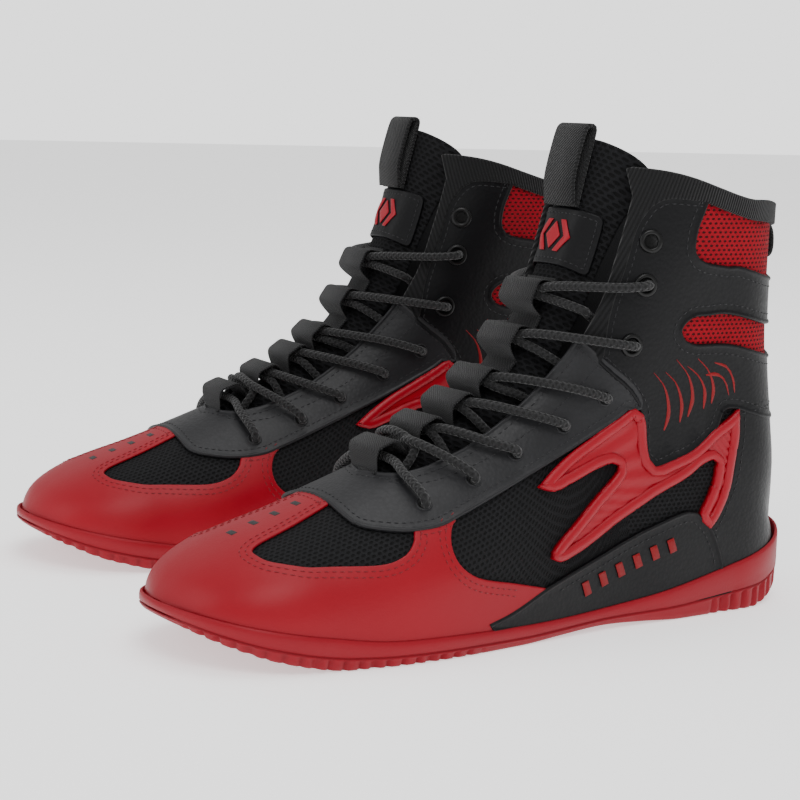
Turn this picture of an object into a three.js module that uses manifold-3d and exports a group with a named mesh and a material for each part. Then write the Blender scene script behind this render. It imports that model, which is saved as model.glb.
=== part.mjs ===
// A pair of lace-up boxing boots, in millimetres, +Z up, toes towards +X, left boot on the +Y side.
// Each boot is drawn once as a left boot, heel at x = 0 and sole at z = 0; the right one is its mirror.
import * as THREE from "three";
import { mergeVertices } from "three/addons/utils/BufferGeometryUtils.js";
import Module from "manifold-3d";

const wasm = await Module();
wasm.setup();

// ---------------------------------------------------------------- driving dimensions
const SOLE_LENGTH = 290;
const BOOT_HEIGHT = 202; // from the ground to the top of the front curve
const BALL_HALF_LATERAL = 49.5;
const BALL_HALF_MEDIAL = 47;
const HEEL_HALF = 31.5;
const ANKLE_HALF = 33;
const COLLAR_HALF = 39;
const BOOT_SPACING = 152;
const HEEL_STAGGER = 10.4; // the right heel stands this far behind the left one
const BOOT_YAW = 2.4; // degrees that each boot turns its toe outwards

const GAP = 0.3; // between neighbouring layers
const SEAM = 0.5; // between two panels that lie edge to edge
const MESH = 1.5;
const LINING = 1.2;
const OVERLAY = 1.2;
const FLASH = 2.6;
const BOARD = 2;
const INSOLE = 4;
const BINDING_OUT = 2;
const BINDING_IN = 2.6;
const RIM_WALL = 2.6;
const SOLE_TUCK = 9; // the tread is this much narrower than the rim on each side
const TREAD_RISE = 4.5;

const TONGUE_CROWN = 1;
const TONGUE_EDGE = -5.4;
const TONGUE_BACK = -7.4;
const TONGUE_HINGE = 11.5; // ring number of the fold across the tongue
const TONGUE_TOP = 14.3;
const FOLD_GAP = 0.4; // between the tongue and its folding top
const TAPE = 1;
const TAPE_HALF = 9.5;
const LABEL_HALF = 21;
const LABEL = 1.4;
const LABEL_LIFT = 0.8; // over the tongue's rounding
const WEBBING_HALF = 10;
const WEBBING = 1.6;

const LACE_RADIUS = 1.8;
const LACE_SIDES = 8;
const PUNCHED_HOLE = 3;
const EYELET_FLANGE = 4.6;
const EYELET_BORE = 2.7;
const EYELET_TUBE = 3.3;
const EYELET_LIP = 0.8;

// ---------------------------------------------------------------- colours
const RED = { color: 0xb01822, roughness: 0.55, metalness: 0 };
const RED_RUBBER = { color: 0xa8141f, roughness: 0.5, metalness: 0 };
const RED_MESH = { color: 0xb81d27, roughness: 0.85, metalness: 0 };
const BLACK_MESH = { color: 0x18191b, roughness: 0.9, metalness: 0 };
const CHARCOAL = { color: 0x2a2b2e, roughness: 0.5, metalness: 0 };
const BLACK_LEATHER = { color: 0x1d1e20, roughness: 0.45, metalness: 0 };
const WEBBING_BLACK = { color: 0x141415, roughness: 0.8, metalness: 0 };
const LINING_BLACK = { color: 0x202123, roughness: 0.95, metalness: 0 };
const BLACK_METAL = { color: 0x0c0c0d, roughness: 0.3, metalness: 0.9 };

// ---------------------------------------------------------------- solids
// A closed geometry as a solid: vertices merged, collapsed triangles dropped, faces turned outwards.
function solid(geometry) {
  const bare = geometry.clone();
  bare.deleteAttribute("normal");
  bare.deleteAttribute("uv");
  const merged = mergeVertices(bare, 1e-4);
  const index = [];
  for (let i = 0; i < merged.index.count; i += 3) {
    const [a, b, c] = [0, 1, 2].map((k) => merged.index.getX(i + k));
    if (a !== b && b !== c && c !== a) index.push(a, b, c);
  }
  const vertProperties = new Float32Array(merged.attributes.position.array);
  const make = (triVerts) =>
    new wasm.Manifold(new wasm.Mesh({ numProp: 3, vertProperties, triVerts }));
  const made = make(new Uint32Array(index));
  if (made.volume() > 0) return made;
  for (let i = 0; i < index.length; i += 3) [index[i + 1], index[i + 2]] = [index[i + 2], index[i + 1]];
  return make(new Uint32Array(index));
}

function geometryOf(manifold) {
  const mesh = manifold.getMesh();
  const geometry = new THREE.BufferGeometry();
  const corners = [];
  for (let i = 0; i < mesh.numVert; i += 1) {
    corners.push(...mesh.vertProperties.slice(i * mesh.numProp, i * mesh.numProp + 3));
  }
  geometry.setAttribute("position", new THREE.Float32BufferAttribute(corners, 3));
  geometry.setIndex(Array.from(mesh.triVerts));
  geometry.computeVertexNormals();
  return geometry;
}

// A closed solid through equal rings of points: a cylinder whose rows take the rings' places.
function skin(rings) {
  const rows = rings.length - 1;
  const columns = rings[0].length;
  const geometry = new THREE.CylinderGeometry(1, 1, 1, columns, rows);
  const position = geometry.attributes.position;
  const centre = (ring) => ring.reduce((sum, p) => sum.add(p), new THREE.Vector3()).divideScalar(columns);
  for (let i = 0; i < position.count; i += 1) {
    const p = new THREE.Vector3().fromBufferAttribute(position, i);
    const ring = rings[Math.round((0.5 - p.y) * rows)];
    const turn = Math.round((Math.atan2(p.x, p.z) / (2 * Math.PI)) * columns);
    const place = Math.hypot(p.x, p.z) < 0.5 ? centre(ring) : ring[(turn + columns) % columns];
    position.setXYZ(i, place.x, place.y, place.z);
  }
  return geometry;
}

// A side-view outline extruded across the boot from y = near to y = far, on one side or both.
function prism(outline, near, far) {
  const shape = new THREE.Shape(outline.map(([x, z]) => new THREE.Vector2(scaleX(x), scaleZ(z))));
  const geometry = new THREE.ExtrudeGeometry(shape, { depth: far - near, bevelEnabled: false });
  geometry.rotateX(Math.PI / 2);
  geometry.translate(0, far, 0);
  return solid(geometry);
}

// The outline moved inwards by a distance, so that two panels edge to edge keep a seam between them.
function inset(outline, distance) {
  const area = THREE.ShapeUtils.area(outline.map(([x, y]) => new THREE.Vector2(x, y)));
  const turn = Math.sign(area);
  return outline.map((p, i) => {
    const before = outline[(i + outline.length - 1) % outline.length];
    const after = outline[(i + 1) % outline.length];
    const a = new THREE.Vector2(p[0] - before[0], p[1] - before[1]).normalize();
    const b = new THREE.Vector2(after[0] - p[0], after[1] - p[1]).normalize();
    const na = new THREE.Vector2(-a.y, a.x).multiplyScalar(turn);
    const nb = new THREE.Vector2(-b.y, b.x).multiplyScalar(turn);
    const mitre = na.clone().add(nb).divideScalar(Math.max(0.4, 1 + na.dot(nb)));
    return [p[0] + mitre.x * distance, p[1] + mitre.y * distance];
  });
}

// ---------------------------------------------------------------- the boot's form
// Outlines and rings below are drawn for a sole of 290 and a height of 202, and follow the real ones.
const DRAWN_LENGTH = 290;
const DRAWN_HEIGHT = 202;
const scaleX = (x) => (x * SOLE_LENGTH) / DRAWN_LENGTH;
const scaleZ = (z) => (z * BOOT_HEIGHT) / DRAWN_HEIGHT;

// Front curve point, back or bottom point, and how deep the rounding of the front reaches, ring by ring.
const RINGS = [
  [289, 21, 288, 17, 6],
  [281, 32, 278, 14, 14],
  [262, 42, 262, 11, 26],
  [240, 49.5, 240, 8.5, 34],
  [220, 57, 216, 7.5, 40],
  [200, 65, 190, 7, 44],
  [183, 72.5, 160, 7, 46],
  [167, 81, 125, 8, 46],
  [152, 92, 85, 8.5, 46],
  [140, 104, 45, 9, 46],
  [130, 118, 8, 14, 46],
  [122, 134, 4, 40, 46],
  [115, 151, 10, 72, 47],
  [109.5, 168, 15, 110, 48],
  [105, 185, 17, 145, 48],
  [102, 202, 17, 182, 48],
];
const LAST_RING = RINGS.length - 1;
const FRONT_POWER = 2.35;
const BACK_POWER = 2.2;
const BACK_ROUND = 38;
const curveThrough = (points) => new THREE.CatmullRomCurve3(points, false, "catmullrom", 0.5);
const frontCurve = curveThrough(RINGS.map(([x, z]) => new THREE.Vector3(scaleX(x), 0, scaleZ(z))));
const backCurve = curveThrough(RINGS.map(([, , x, z]) => new THREE.Vector3(scaleX(x), 0, scaleZ(z))));
const roundCurve = curveThrough(RINGS.map((r) => new THREE.Vector3(r[4], 0, 0)));

// A smooth function through [x, value] knots.
function along(knots, x) {
  const last = knots.length - 1;
  const at = THREE.MathUtils.clamp(x, knots[0][0], knots[last][0]);
  let i = knots.findIndex(([k]) => k >= at) - 1;
  i = THREE.MathUtils.clamp(i, 0, last - 1);
  const slope = (k) => {
    const [a, b] = [Math.max(k - 1, 0), Math.min(k + 1, last)];
    return (knots[b][1] - knots[a][1]) / (knots[b][0] - knots[a][0]);
  };
  const h = knots[i + 1][0] - knots[i][0];
  const s = (at - knots[i][0]) / h;
  const [v0, v1] = [knots[i][1], knots[i + 1][1]];
  return (
    v0 * (2 * s ** 3 - 3 * s ** 2 + 1) +
    h * slope(i) * (s ** 3 - 2 * s ** 2 + s) +
    v1 * (3 * s ** 2 - 2 * s ** 3) +
    h * slope(i + 1) * (s ** 3 - s ** 2)
  );
}

const PLAN_LATERAL = [
  [40, HEEL_HALF],
  [75, HEEL_HALF + 3],
  [110, HEEL_HALF + 5],
  [150, BALL_HALF_LATERAL - 7],
  [190, BALL_HALF_LATERAL - 1],
  [215, BALL_HALF_LATERAL],
  [240, BALL_HALF_LATERAL - 2.5],
];
const PLAN_MEDIAL = [
  [40, HEEL_HALF - 0.5],
  [75, HEEL_HALF + 1],
  [110, HEEL_HALF + 1.5],
  [150, BALL_HALF_MEDIAL - 9],
  [190, BALL_HALF_MEDIAL - 2],
  [215, BALL_HALF_MEDIAL],
  [240, BALL_HALF_MEDIAL - 2.5],
];
const SHAFT = [
  [40, ANKLE_HALF],
  [60, ANKLE_HALF],
  [80, ANKLE_HALF - 0.5],
  [100, ANKLE_HALF],
  [125, ANKLE_HALF + 2],
  [150, COLLAR_HALF - 1.5],
  [175, COLLAR_HALF],
  [202, COLLAR_HALF + 1],
];
const HEEL_ROUND = 40;
const TOE_ROUND = 50;

// Half width of the upper in plan, rounded at the heel and the toe; x is in the drawn length.
function planHalf(x, side) {
  const toeStart = DRAWN_LENGTH - TOE_ROUND;
  const middle = along(side > 0 ? PLAN_LATERAL : PLAN_MEDIAL, x);
  const heel = 1 - ((HEEL_ROUND - Math.min(x, HEEL_ROUND)) / HEEL_ROUND) ** 2;
  const toe = 1 - ((Math.max(x, toeStart) - toeStart) / TOE_ROUND) ** 2.3;
  return middle * Math.sqrt(Math.max(heel, 0)) * Math.sqrt(Math.max(toe, 0));
}

const step = (x, from, to) => THREE.MathUtils.smoothstep(x, from, to);
const rounded = (depth, radius, power) =>
  (1 - (1 - THREE.MathUtils.clamp(depth / radius, 0, 1)) ** power) ** (1 / power);

// A point of the form: u runs from toe (0) to collar (1), t from the front curve (0) to the back (1).
function formPoint(u, t, side) {
  const front = frontCurve.getPoint(u);
  const back = backCurve.getPoint(u);
  const point = front.clone().lerp(back, t);
  const length = front.distanceTo(back);
  const [x, z] = [(point.x * DRAWN_LENGTH) / SOLE_LENGTH, (point.z * DRAWN_HEIGHT) / BOOT_HEIGHT];
  const backZ = (back.z * DRAWN_HEIGHT) / BOOT_HEIGHT;
  const shaft = step(z, 30, 85);
  const width = THREE.MathUtils.lerp(planHalf(Math.max(x, 14), side), along(SHAFT, z), shaft);
  const half = width * rounded(t * length, roundCurve.getPoint(u).x, FRONT_POWER);
  const isBack = step(backZ, 12, 30);
  const shaped = half * THREE.MathUtils.lerp(1, rounded((1 - t) * length, BACK_ROUND, BACK_POWER), isBack);
  const heel = (1 - isBack) * (1 - step(x, 8, 45));
  point.y = side * THREE.MathUtils.lerp(shaped, Math.min(half, planHalf(Math.max(x, 0), side)), heel);
  return point;
}

function formNormal(u, t, side) {
  const [du, dt] = [0.004, 0.004];
  const tt = THREE.MathUtils.clamp(t, 0.006, 0.994);
  const [ua, ub] = [Math.max(u - du, 0), Math.min(u + du, 1)];
  const alongU = formPoint(ub, tt, side).sub(formPoint(ua, tt, side));
  const alongT = formPoint(u, tt + dt, side).sub(formPoint(u, tt - dt, side));
  const normal = alongT.cross(alongU).multiplyScalar(side).normalize();
  if (t <= 0.0001) normal.setY(0).normalize();
  return normal;
}

const FORM_STEPS = 15;
// Shares of the way from the front curve to the back, on the shaft and on the foot.
const SHAFT_GIRTH = [0, 0.04, 0.14, 0.36, 0.72, 0.93, 1];
const FOOT_GIRTH = [0, 0.04, 0.14, 0.36, 0.58, 0.76, 1];

// The whole form grown (or shrunk) by an offset, closed across the sole and across the collar.
function formSolid(offset) {
  const start = Math.max(0, -offset * 0.0095);
  const rings = [];
  for (let i = 0; i <= FORM_STEPS; i += 1) {
    const u = Math.max(start, i / FORM_STEPS);
    const backZ = (backCurve.getPoint(u).z * DRAWN_HEIGHT) / BOOT_HEIGHT;
    const foot = 1 - step(backZ, 12, 30);
    const ring = [];
    for (let k = 1 - FOOT_GIRTH.length; k < FOOT_GIRTH.length; k += 1) {
      const side = k < 0 ? -1 : 1;
      const t = THREE.MathUtils.lerp(SHAFT_GIRTH[Math.abs(k)], FOOT_GIRTH[Math.abs(k)], foot);
      const point = formPoint(u, t, side);
      const normal = formNormal(u, t, side);
      if (t === 1) {
        normal.set(normal.x, normal.y * foot, normal.z * (1 - foot)).normalize();
        point.z -= offset * foot;
      }
      ring.push(point.addScaledVector(normal, offset));
    }
    rings.push(ring);
  }
  return solid(skin(rings));
}

const forms = new Map();
function form(offset) {
  if (!forms.has(offset)) forms.set(offset, formSolid(offset));
  return forms.get(offset);
}
const layer = (inner, outer) => form(outer).subtract(form(inner));

// The place at ring number r, across the boot at y, standing off the form by n.
function place(r, y, n) {
  const u = r / LAST_RING;
  const side = y < 0 ? -1 : 1;
  let [low, high] = [0, 0.5];
  for (let i = 0; i < 24; i += 1) {
    const middle = (low + high) / 2;
    if (Math.abs(formPoint(u, middle, side).y) < Math.abs(y)) low = middle;
    else high = middle;
  }
  const t = y === 0 ? 0 : (low + high) / 2;
  return formPoint(u, t, side).addScaledVector(formNormal(u, t, side), n);
}

const evenly = (from, to, steps) =>
  Array.from({ length: steps + 1 }, (_, i) => THREE.MathUtils.lerp(from, to, i / steps));

// A strip laid along the front curve through the given ring numbers: a box bent to its place.
function strip({ at, half, inner, outer, across = 4 }) {
  const rows = at.length - 1;
  const geometry = new THREE.BoxGeometry(2, 1, rows, across, 1, rows);
  const position = geometry.attributes.position;
  for (let i = 0; i < position.count; i += 1) {
    const p = new THREE.Vector3().fromBufferAttribute(position, i);
    const r = at[Math.round(p.z + rows / 2)];
    const offset = p.y > 0 ? outer : inner;
    const placed = place(r, p.x * half(r), offset(r, Math.abs(p.x)));
    position.setXYZ(i, placed.x, placed.y, placed.z);
  }
  return solid(geometry);
}

// ---------------------------------------------------------------- the throat and the outlines
// Half width of the throat between the two facings, by ring number.
const THROAT = [
  [4.72, 3],
  [4.9, 11],
  [5.3, 17.5],
  [6, 20],
  [8, 21],
  [10, 24],
  [11, 26.5],
  [15, 27.5],
];
const THROAT_START = THROAT[0][0];
const throatHalf = (r) => along(THROAT, r);
const throatCutter = () =>
  strip({
    at: evenly(THROAT_START, LAST_RING, 15),
    half: throatHalf,
    inner: () => -14,
    outer: () => 16,
    across: 2,
  });

// The lace holes: ring number, half width, and whether a metal eyelet sits in it.
const HOLES = [
  [5.2, 31.2, false],
  [6.4, 29.4, false],
  [7.45, 28.1, false],
  [8.6, 29.4, false],
  [9.65, 31.4, false],
  [10.9, 32.6, true],
  [12.1, 33.4, true],
  [12.9, 33.1, true],
];
const KEEPERS = [5.3, 6.45, 7.4, 8.25, 9.6, 10.8];

const FACING = [
  [222, 107.5], [222, 55], [218, 50], [207, 48.5], [193, 49.5], [180, 53.5], [154, 63.5], [127, 75.5],
  [101, 90], [94, 89.5], [99, 97], [112, 107.5],
];
const TOE_CAP = [
  [300, -10], [300, 80], [222, 80], [222, 55], [218, 50], [207, 48.5], [193, 49.5], [181, 53.2],
  [187, 48], [190, 42], [188, 35], [179, 29], [160, 24.5], [143, 20.5], [149, 17.5], [172, 9.5],
  [176, -10],
];
const TOE_WINDOW = [
  [263, 70], [262, 41], [257, 37.5], [241, 36.5], [221, 36.5], [209, 39.5], [202, 47.5], [201, 70],
];
const STRAP_HALF = 14;
const ANKLE_PANEL = [
  [112, 108], [108, 127], [101.5, 146], [97, 161], [92, 169], [86, 173], [71, 172], [76, 152],
  [70, 146], [44, 142], [0, 141], [0, 126], [44, 126], [66, 127.5], [75, 125], [78.5, 119],
  [72, 112.5], [44, 110], [0, 109], [0, 90], [42, 87], [57, 77], [73, 68], [87, 64.5], [91, 69],
  [91.5, 87], [99, 97],
];
const RED_MESH_AREA = [
  [82, 106], [84, 122], [82, 150], [76, 171], [47, 165], [0, 163], [0, 104], [44, 104],
];
const FLASH_OUTLINE = [
  [144.5, 61], [136, 66.5], [127, 72.5], [116, 79], [101, 87.5], [96, 88], [92, 84.5], [91, 69],
  [87, 64.5], [73, 68], [57, 77], [43, 86.5], [42.5, 74], [47.5, 47.5], [56, 36.5], [62.5, 42.5],
  [56, 53], [53, 65], [55, 66.5], [65, 63], [85, 54], [105, 45], [126, 34.5], [138, 31.5],
  [141.5, 35], [130, 44], [118, 54], [106, 63], [104, 66.5], [109, 68], [129, 61], [141, 57.5],
];
const SADDLE = [
  [172, 9.5], [149, 17.5], [134, 23], [110, 31], [90, 38], [69, 43.5], [62, 41.5], [56, 35.5],
  [48, 18], [46, -10], [176, -10],
];
const COUNTER = [
  [42, 86.5], [41, 77], [43, 61], [47.5, 47.5], [56, 35.5], [48, 18], [46, -10], [-20, -10],
  [-20, 88],
];
const COLLAR = [
  [112, 108], [108, 127], [101.5, 146], [97, 161], [92, 169], [86, 173], [71, 172], [47, 165],
  [-20, 163], [-20, 170.5], [48, 171.5], [63, 176], [76, 180], [86, 182.5], [98, 183.5],
  [130, 184], [150, 108],
];
const BACK_STRAP = [[-20, 86], [44, 86], [44, 163], [-20, 163]];
const ABOVE_COLLAR = [
  [112, 108], [108, 127], [101.5, 146], [97, 161], [92, 169], [86, 173], [71, 172], [47, 165],
  [-20, 163], [-20, 240], [200, 240], [200, 108],
];
const BACK_STRAP_HALF = 9;
const REACH = 90; // beyond the widest part of a boot
const HALF_SEAM = SEAM / 2;

const sidePanel = (inner, outer, outline, side, near = 0) => {
  const shape = inset(outline, HALF_SEAM);
  const [from, to] = side > 0 ? [near, REACH] : [-REACH, -near];
  return layer(inner, outer).intersect(prism(shape, from, to));
};
const bothSides = (inner, outer, outline) =>
  layer(inner, outer).intersect(prism(inset(outline, HALF_SEAM), -REACH, REACH));

// Everything that the upper's overlays may cover: above the top of the outsole's cup.
const RIM_TOP = [
  [0, 33], [12, 28], [30, 23], [50, 18.5], [82, 12.5], [117, 9], [150, 8], [190, 9], [220, 10],
  [245, 13.5], [270, 18], [290, 22],
];
const rimTop = (x) => along(RIM_TOP, x);
const aboveRim = (() => {
  const line = RIM_TOP.map(([x]) => [x, rimTop(x) + GAP + 0.2]);
  return [[-30, rimTop(0) + GAP + 0.2], ...line, [320, rimTop(290) + 1], [320, 260], [-30, 260]];
})();

const LAYER_OVER = [GAP, GAP + OVERLAY];
const FORM_INSIDE = -(MESH + GAP + LINING);

function punch(panel, rows, radius) {
  let cut = panel;
  for (const [r, y] of rows) {
    for (const side of [-1, 1]) {
      const centre = place(r, side * y, 0);
      const axis = place(r, side * y, 1).sub(centre);
      const drill = new THREE.CylinderGeometry(radius, radius, 16, 8);
      const turn = new THREE.Quaternion().setFromUnitVectors(new THREE.Vector3(0, 1, 0), axis);
      drill.applyQuaternion(turn);
      drill.translate(centre.x, centre.y, centre.z);
      cut = cut.subtract(solid(drill));
    }
  }
  return cut;
}

// ---------------------------------------------------------------- sole
const BED = RINGS.filter(([, , , z]) => z <= 17).map(([, , x, z]) => [x, z]).reverse();
const bedHeight = (x) => along([[0, 15], ...BED, [290, 17.5]], x);
const GROUND = [
  [0, 9], [12, 4], [26, 0], [70, 0], [90, 1.2], [112, 2], [135, 1], [155, 0], [235, 0],
  [262, 5], [278, 10.5], [290, 16],
];

// Cross-sections of a plate that follows the sole's plan, from heel to toe.
function plate(stations, section) {
  const rings = [];
  for (let i = 0; i <= stations; i += 1) {
    const x = (DRAWN_LENGTH / 2) * (1 - Math.cos((Math.PI * i) / stations));
    rings.push(section(x).map(([dx, y, z]) => new THREE.Vector3(scaleX(x) + dx, y, scaleZ(z))));
  }
  return solid(skin(rings));
}

function outsole() {
  const stations = 20;
  const body = plate(stations, (x) => {
    const ends = 1 - (1 - step(x, 0, 12)) ** 2;
    const grow = x < 20 ? -RIM_WALL * (1 - x / 20) : RIM_WALL * step(x, 270, 290);
    const wall = RIM_WALL * Math.min(1, ends + 0.35);
    const [lateral, medial] = [1, -1].map((side) => Math.max(planHalf(x, side) + wall, 3));
    const [low, top] = [Math.max(along(GROUND, x), 0), rimTop(x)];
    const tread = (half) => Math.max(half - SOLE_TUCK, half * 0.45);
    const rise = low + TREAD_RISE;
    return [
      [grow, -tread(medial), low],
      [grow, tread(lateral), low],
      [grow, lateral, Math.min(rise, top - 3)],
      [grow, lateral, top - 1.2],
      [grow, lateral - 1, top],
      [grow, -(medial - 1), top],
      [grow, -medial, top - 1.2],
      [grow, -medial, Math.min(rise, top - 3)],
    ];
  });
  return body.subtract(form(GAP));
}

const FOOTBED_END = 274; // it stops short of the toe's edge

// A layer of the footbed, cut to the hollow that the lining leaves.
function footbed(low, high) {
  const slab = plate(12, (x) => {
    const [lateral, medial] = [1, -1].map((side) => planHalf(x, side) + 6);
    const bed = bedHeight(x);
    return [
      [0, -medial, bed + low],
      [0, lateral, bed + low],
      [0, lateral, bed + high],
      [0, -medial, bed + high],
    ];
  });
  const reach = prism([[-10, -10], [FOOTBED_END, -10], [FOOTBED_END, 60], [-10, 60]], -REACH, REACH);
  return slab.intersect(form(FORM_INSIDE - GAP)).intersect(reach);
}

// ---------------------------------------------------------------- upper
// The mesh and the lining stop under the facings, short of the lace holes.
const UNDER_FACINGS = [
  [213, 240], [213, 57], [207, 51.8], [194, 50.1], [180, 54.1], [154, 64.2], [127, 76.6], [101, 91],
  [86.5, 92], [86.5, 240],
];

function openFront(shell) {
  const front = prism(UNDER_FACINGS, -REACH, REACH);
  const above = prism(inset(ABOVE_COLLAR, -HALF_SEAM), -REACH, REACH);
  return shell.subtract(front).subtract(above);
}

const lining = () => openFront(layer(FORM_INSIDE, FORM_INSIDE + LINING));

function meshUpper() {
  const red = prism(inset(RED_MESH_AREA, -HALF_SEAM), -REACH, REACH);
  return openFront(layer(-MESH, 0)).subtract(red);
}

const ankleMesh = (side) => sidePanel(-MESH, 0, RED_MESH_AREA, side, HALF_SEAM);

function toeCap() {
  const rim = prism(aboveRim, -REACH, REACH);
  const outline = bothSides(...LAYER_OVER, TOE_CAP).intersect(rim);
  const window = inset(TOE_WINDOW, -HALF_SEAM);
  return outline.subtract(prism(window, STRAP_HALF, REACH)).subtract(prism(window, -REACH, -STRAP_HALF));
}

function facings() {
  const band = bothSides(...LAYER_OVER, FACING).subtract(throatCutter());
  return punch(band, HOLES.filter((h) => !h[2]), PUNCHED_HOLE);
}

function anklePanel(side) {
  const panel = sidePanel(...LAYER_OVER, ANKLE_PANEL, side, BACK_STRAP_HALF + HALF_SEAM);
  return punch(panel.subtract(throatCutter()), HOLES.filter((h) => h[2]), EYELET_TUBE + GAP);
}

const flash = (side) => sidePanel(GAP, GAP + FLASH, FLASH_OUTLINE, side);
const saddle = (side) => sidePanel(...LAYER_OVER, SADDLE, side).intersect(prism(aboveRim, -REACH, REACH));

function heelCounter() {
  const cup = bothSides(...LAYER_OVER, COUNTER).intersect(prism(aboveRim, -REACH, REACH));
  const [near, far] = [-BACK_STRAP_HALF, BACK_STRAP_HALF].map((y) => y - Math.sign(y) * HALF_SEAM);
  const strap = layer(...LAYER_OVER).intersect(prism(inset(BACK_STRAP, HALF_SEAM), near, far));
  const bridge = layer(...LAYER_OVER).intersect(prism([[-20, 82], [30, 82], [30, 90], [-20, 90]], near, far));
  return cup.add(strap).add(bridge);
}

function collarBinding() {
  const roll = layer(-BINDING_IN, BINDING_OUT).intersect(prism(inset(COLLAR, HALF_SEAM), -REACH, REACH));
  return roll.subtract(throatCutter());
}

// ---------------------------------------------------------------- tongue
// Beside the eyelets the tongue is narrower, so that the lace can come up past its edges.
const TONGUE_SIDE = [[8, SEAM], [10.3, 5.5], [12.4, 5.5], [13.2, 2], [15, 2]];
const tongueHalf = (r) => throatHalf(r) - along(TONGUE_SIDE, r);
const tongueOuter = (r, share) => THREE.MathUtils.lerp(TONGUE_CROWN, TONGUE_EDGE, step(share, 0.3, 1));
const tongueStrip = (from, to, steps) =>
  strip({ at: evenly(from, to, steps), half: tongueHalf, inner: () => TONGUE_BACK, outer: tongueOuter });

// Millimetres along the front curve for one ring number.
function ringSpeed(r) {
  const at = (ring) => frontCurve.getPoint(THREE.MathUtils.clamp(ring / LAST_RING, 0, 1));
  return at(r - 0.05).distanceTo(at(r + 0.05)) / 0.1;
}

const tongueLower = () => tongueStrip(THROAT_START + 0.35, TONGUE_HINGE, 14);
const tongueTop = () => tongueStrip(TONGUE_HINGE + FOLD_GAP / ringSpeed(TONGUE_HINGE), TONGUE_TOP, 5);

function label() {
  const base = (r, share) => tongueOuter(r, (share * LABEL_HALF) / tongueHalf(r)) + LABEL_LIFT;
  return strip({
    at: evenly(11.65, 12.85, 3),
    half: () => LABEL_HALF,
    inner: base,
    outer: (r, share) => base(r, share) + LABEL,
  });
}

const KEEPER_RISE = 4 * LACE_RADIUS + 3 * GAP + 0.9;
const KEEPER_LOW = 7.4; // the tape lies on the tongue from here on either side of a keeper's middle
const KEEPER_HIGH = 5.4; // and stands off in full within this

// The tape sewn down between the keepers and standing off as a loop over the lace at each of them.
function keeperTape() {
  const first = KEEPERS[0] - 0.5;
  const last = KEEPERS[KEEPERS.length - 1] + 0.55;
  const loops = KEEPERS.flatMap((k) => {
    const [low, high] = [KEEPER_LOW, KEEPER_HIGH].map((distance) => distance / ringSpeed(k));
    return [k - low, k - high, k + high, k + low];
  });
  const lift = (r) => {
    const nearest = Math.min(...KEEPERS.map((k) => Math.abs(k - r) * ringSpeed(k)));
    return TONGUE_CROWN + GAP + KEEPER_RISE * (1 - step(nearest, KEEPER_HIGH, KEEPER_LOW));
  };
  return strip({
    at: [first, ...loops, last],
    half: () => TAPE_HALF,
    inner: lift,
    outer: (r) => lift(r) + TAPE,
    across: 2,
  });
}

// ---------------------------------------------------------------- eyelets, lace and loops
function eyelet([r, y], side) {
  const top = GAP + OVERLAY + GAP;
  const profile = [
    [EYELET_BORE, -1.2], [EYELET_TUBE, -1.2], [EYELET_TUBE, top], [EYELET_FLANGE, top],
    [EYELET_FLANGE - 0.6, top + EYELET_LIP], [EYELET_BORE, top + EYELET_LIP], [EYELET_BORE, -1.2],
  ].map(([x, h]) => new THREE.Vector2(x, h));
  const ring = new THREE.LatheGeometry(profile, 8);
  const centre = place(r, side * y, 0);
  const axis = place(r, side * y, 1).sub(centre);
  ring.applyQuaternion(new THREE.Quaternion().setFromUnitVectors(new THREE.Vector3(0, 1, 0), axis));
  ring.translate(centre.x, centre.y, centre.z);
  return solid(ring);
}

// A route whose steps are its own points, so that a tight turn keeps all of them.
class Route extends THREE.CatmullRomCurve3 {
  getPointAt(t, target) {
    return this.getPoint(t, target);
  }
  getTangentAt(t, target) {
    return this.getTangent(t, target);
  }
  getSpacedPoints(count) {
    return this.getPoints(count);
  }
}

function tube(points, radius, sides) {
  const section = new THREE.Shape();
  section.absarc(0, 0, radius, 0, 2 * Math.PI);
  return new THREE.ExtrudeGeometry(section, {
    steps: points.length - 1,
    curveSegments: sides / 2,
    extrudePath: new Route(points),
  });
}

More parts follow.
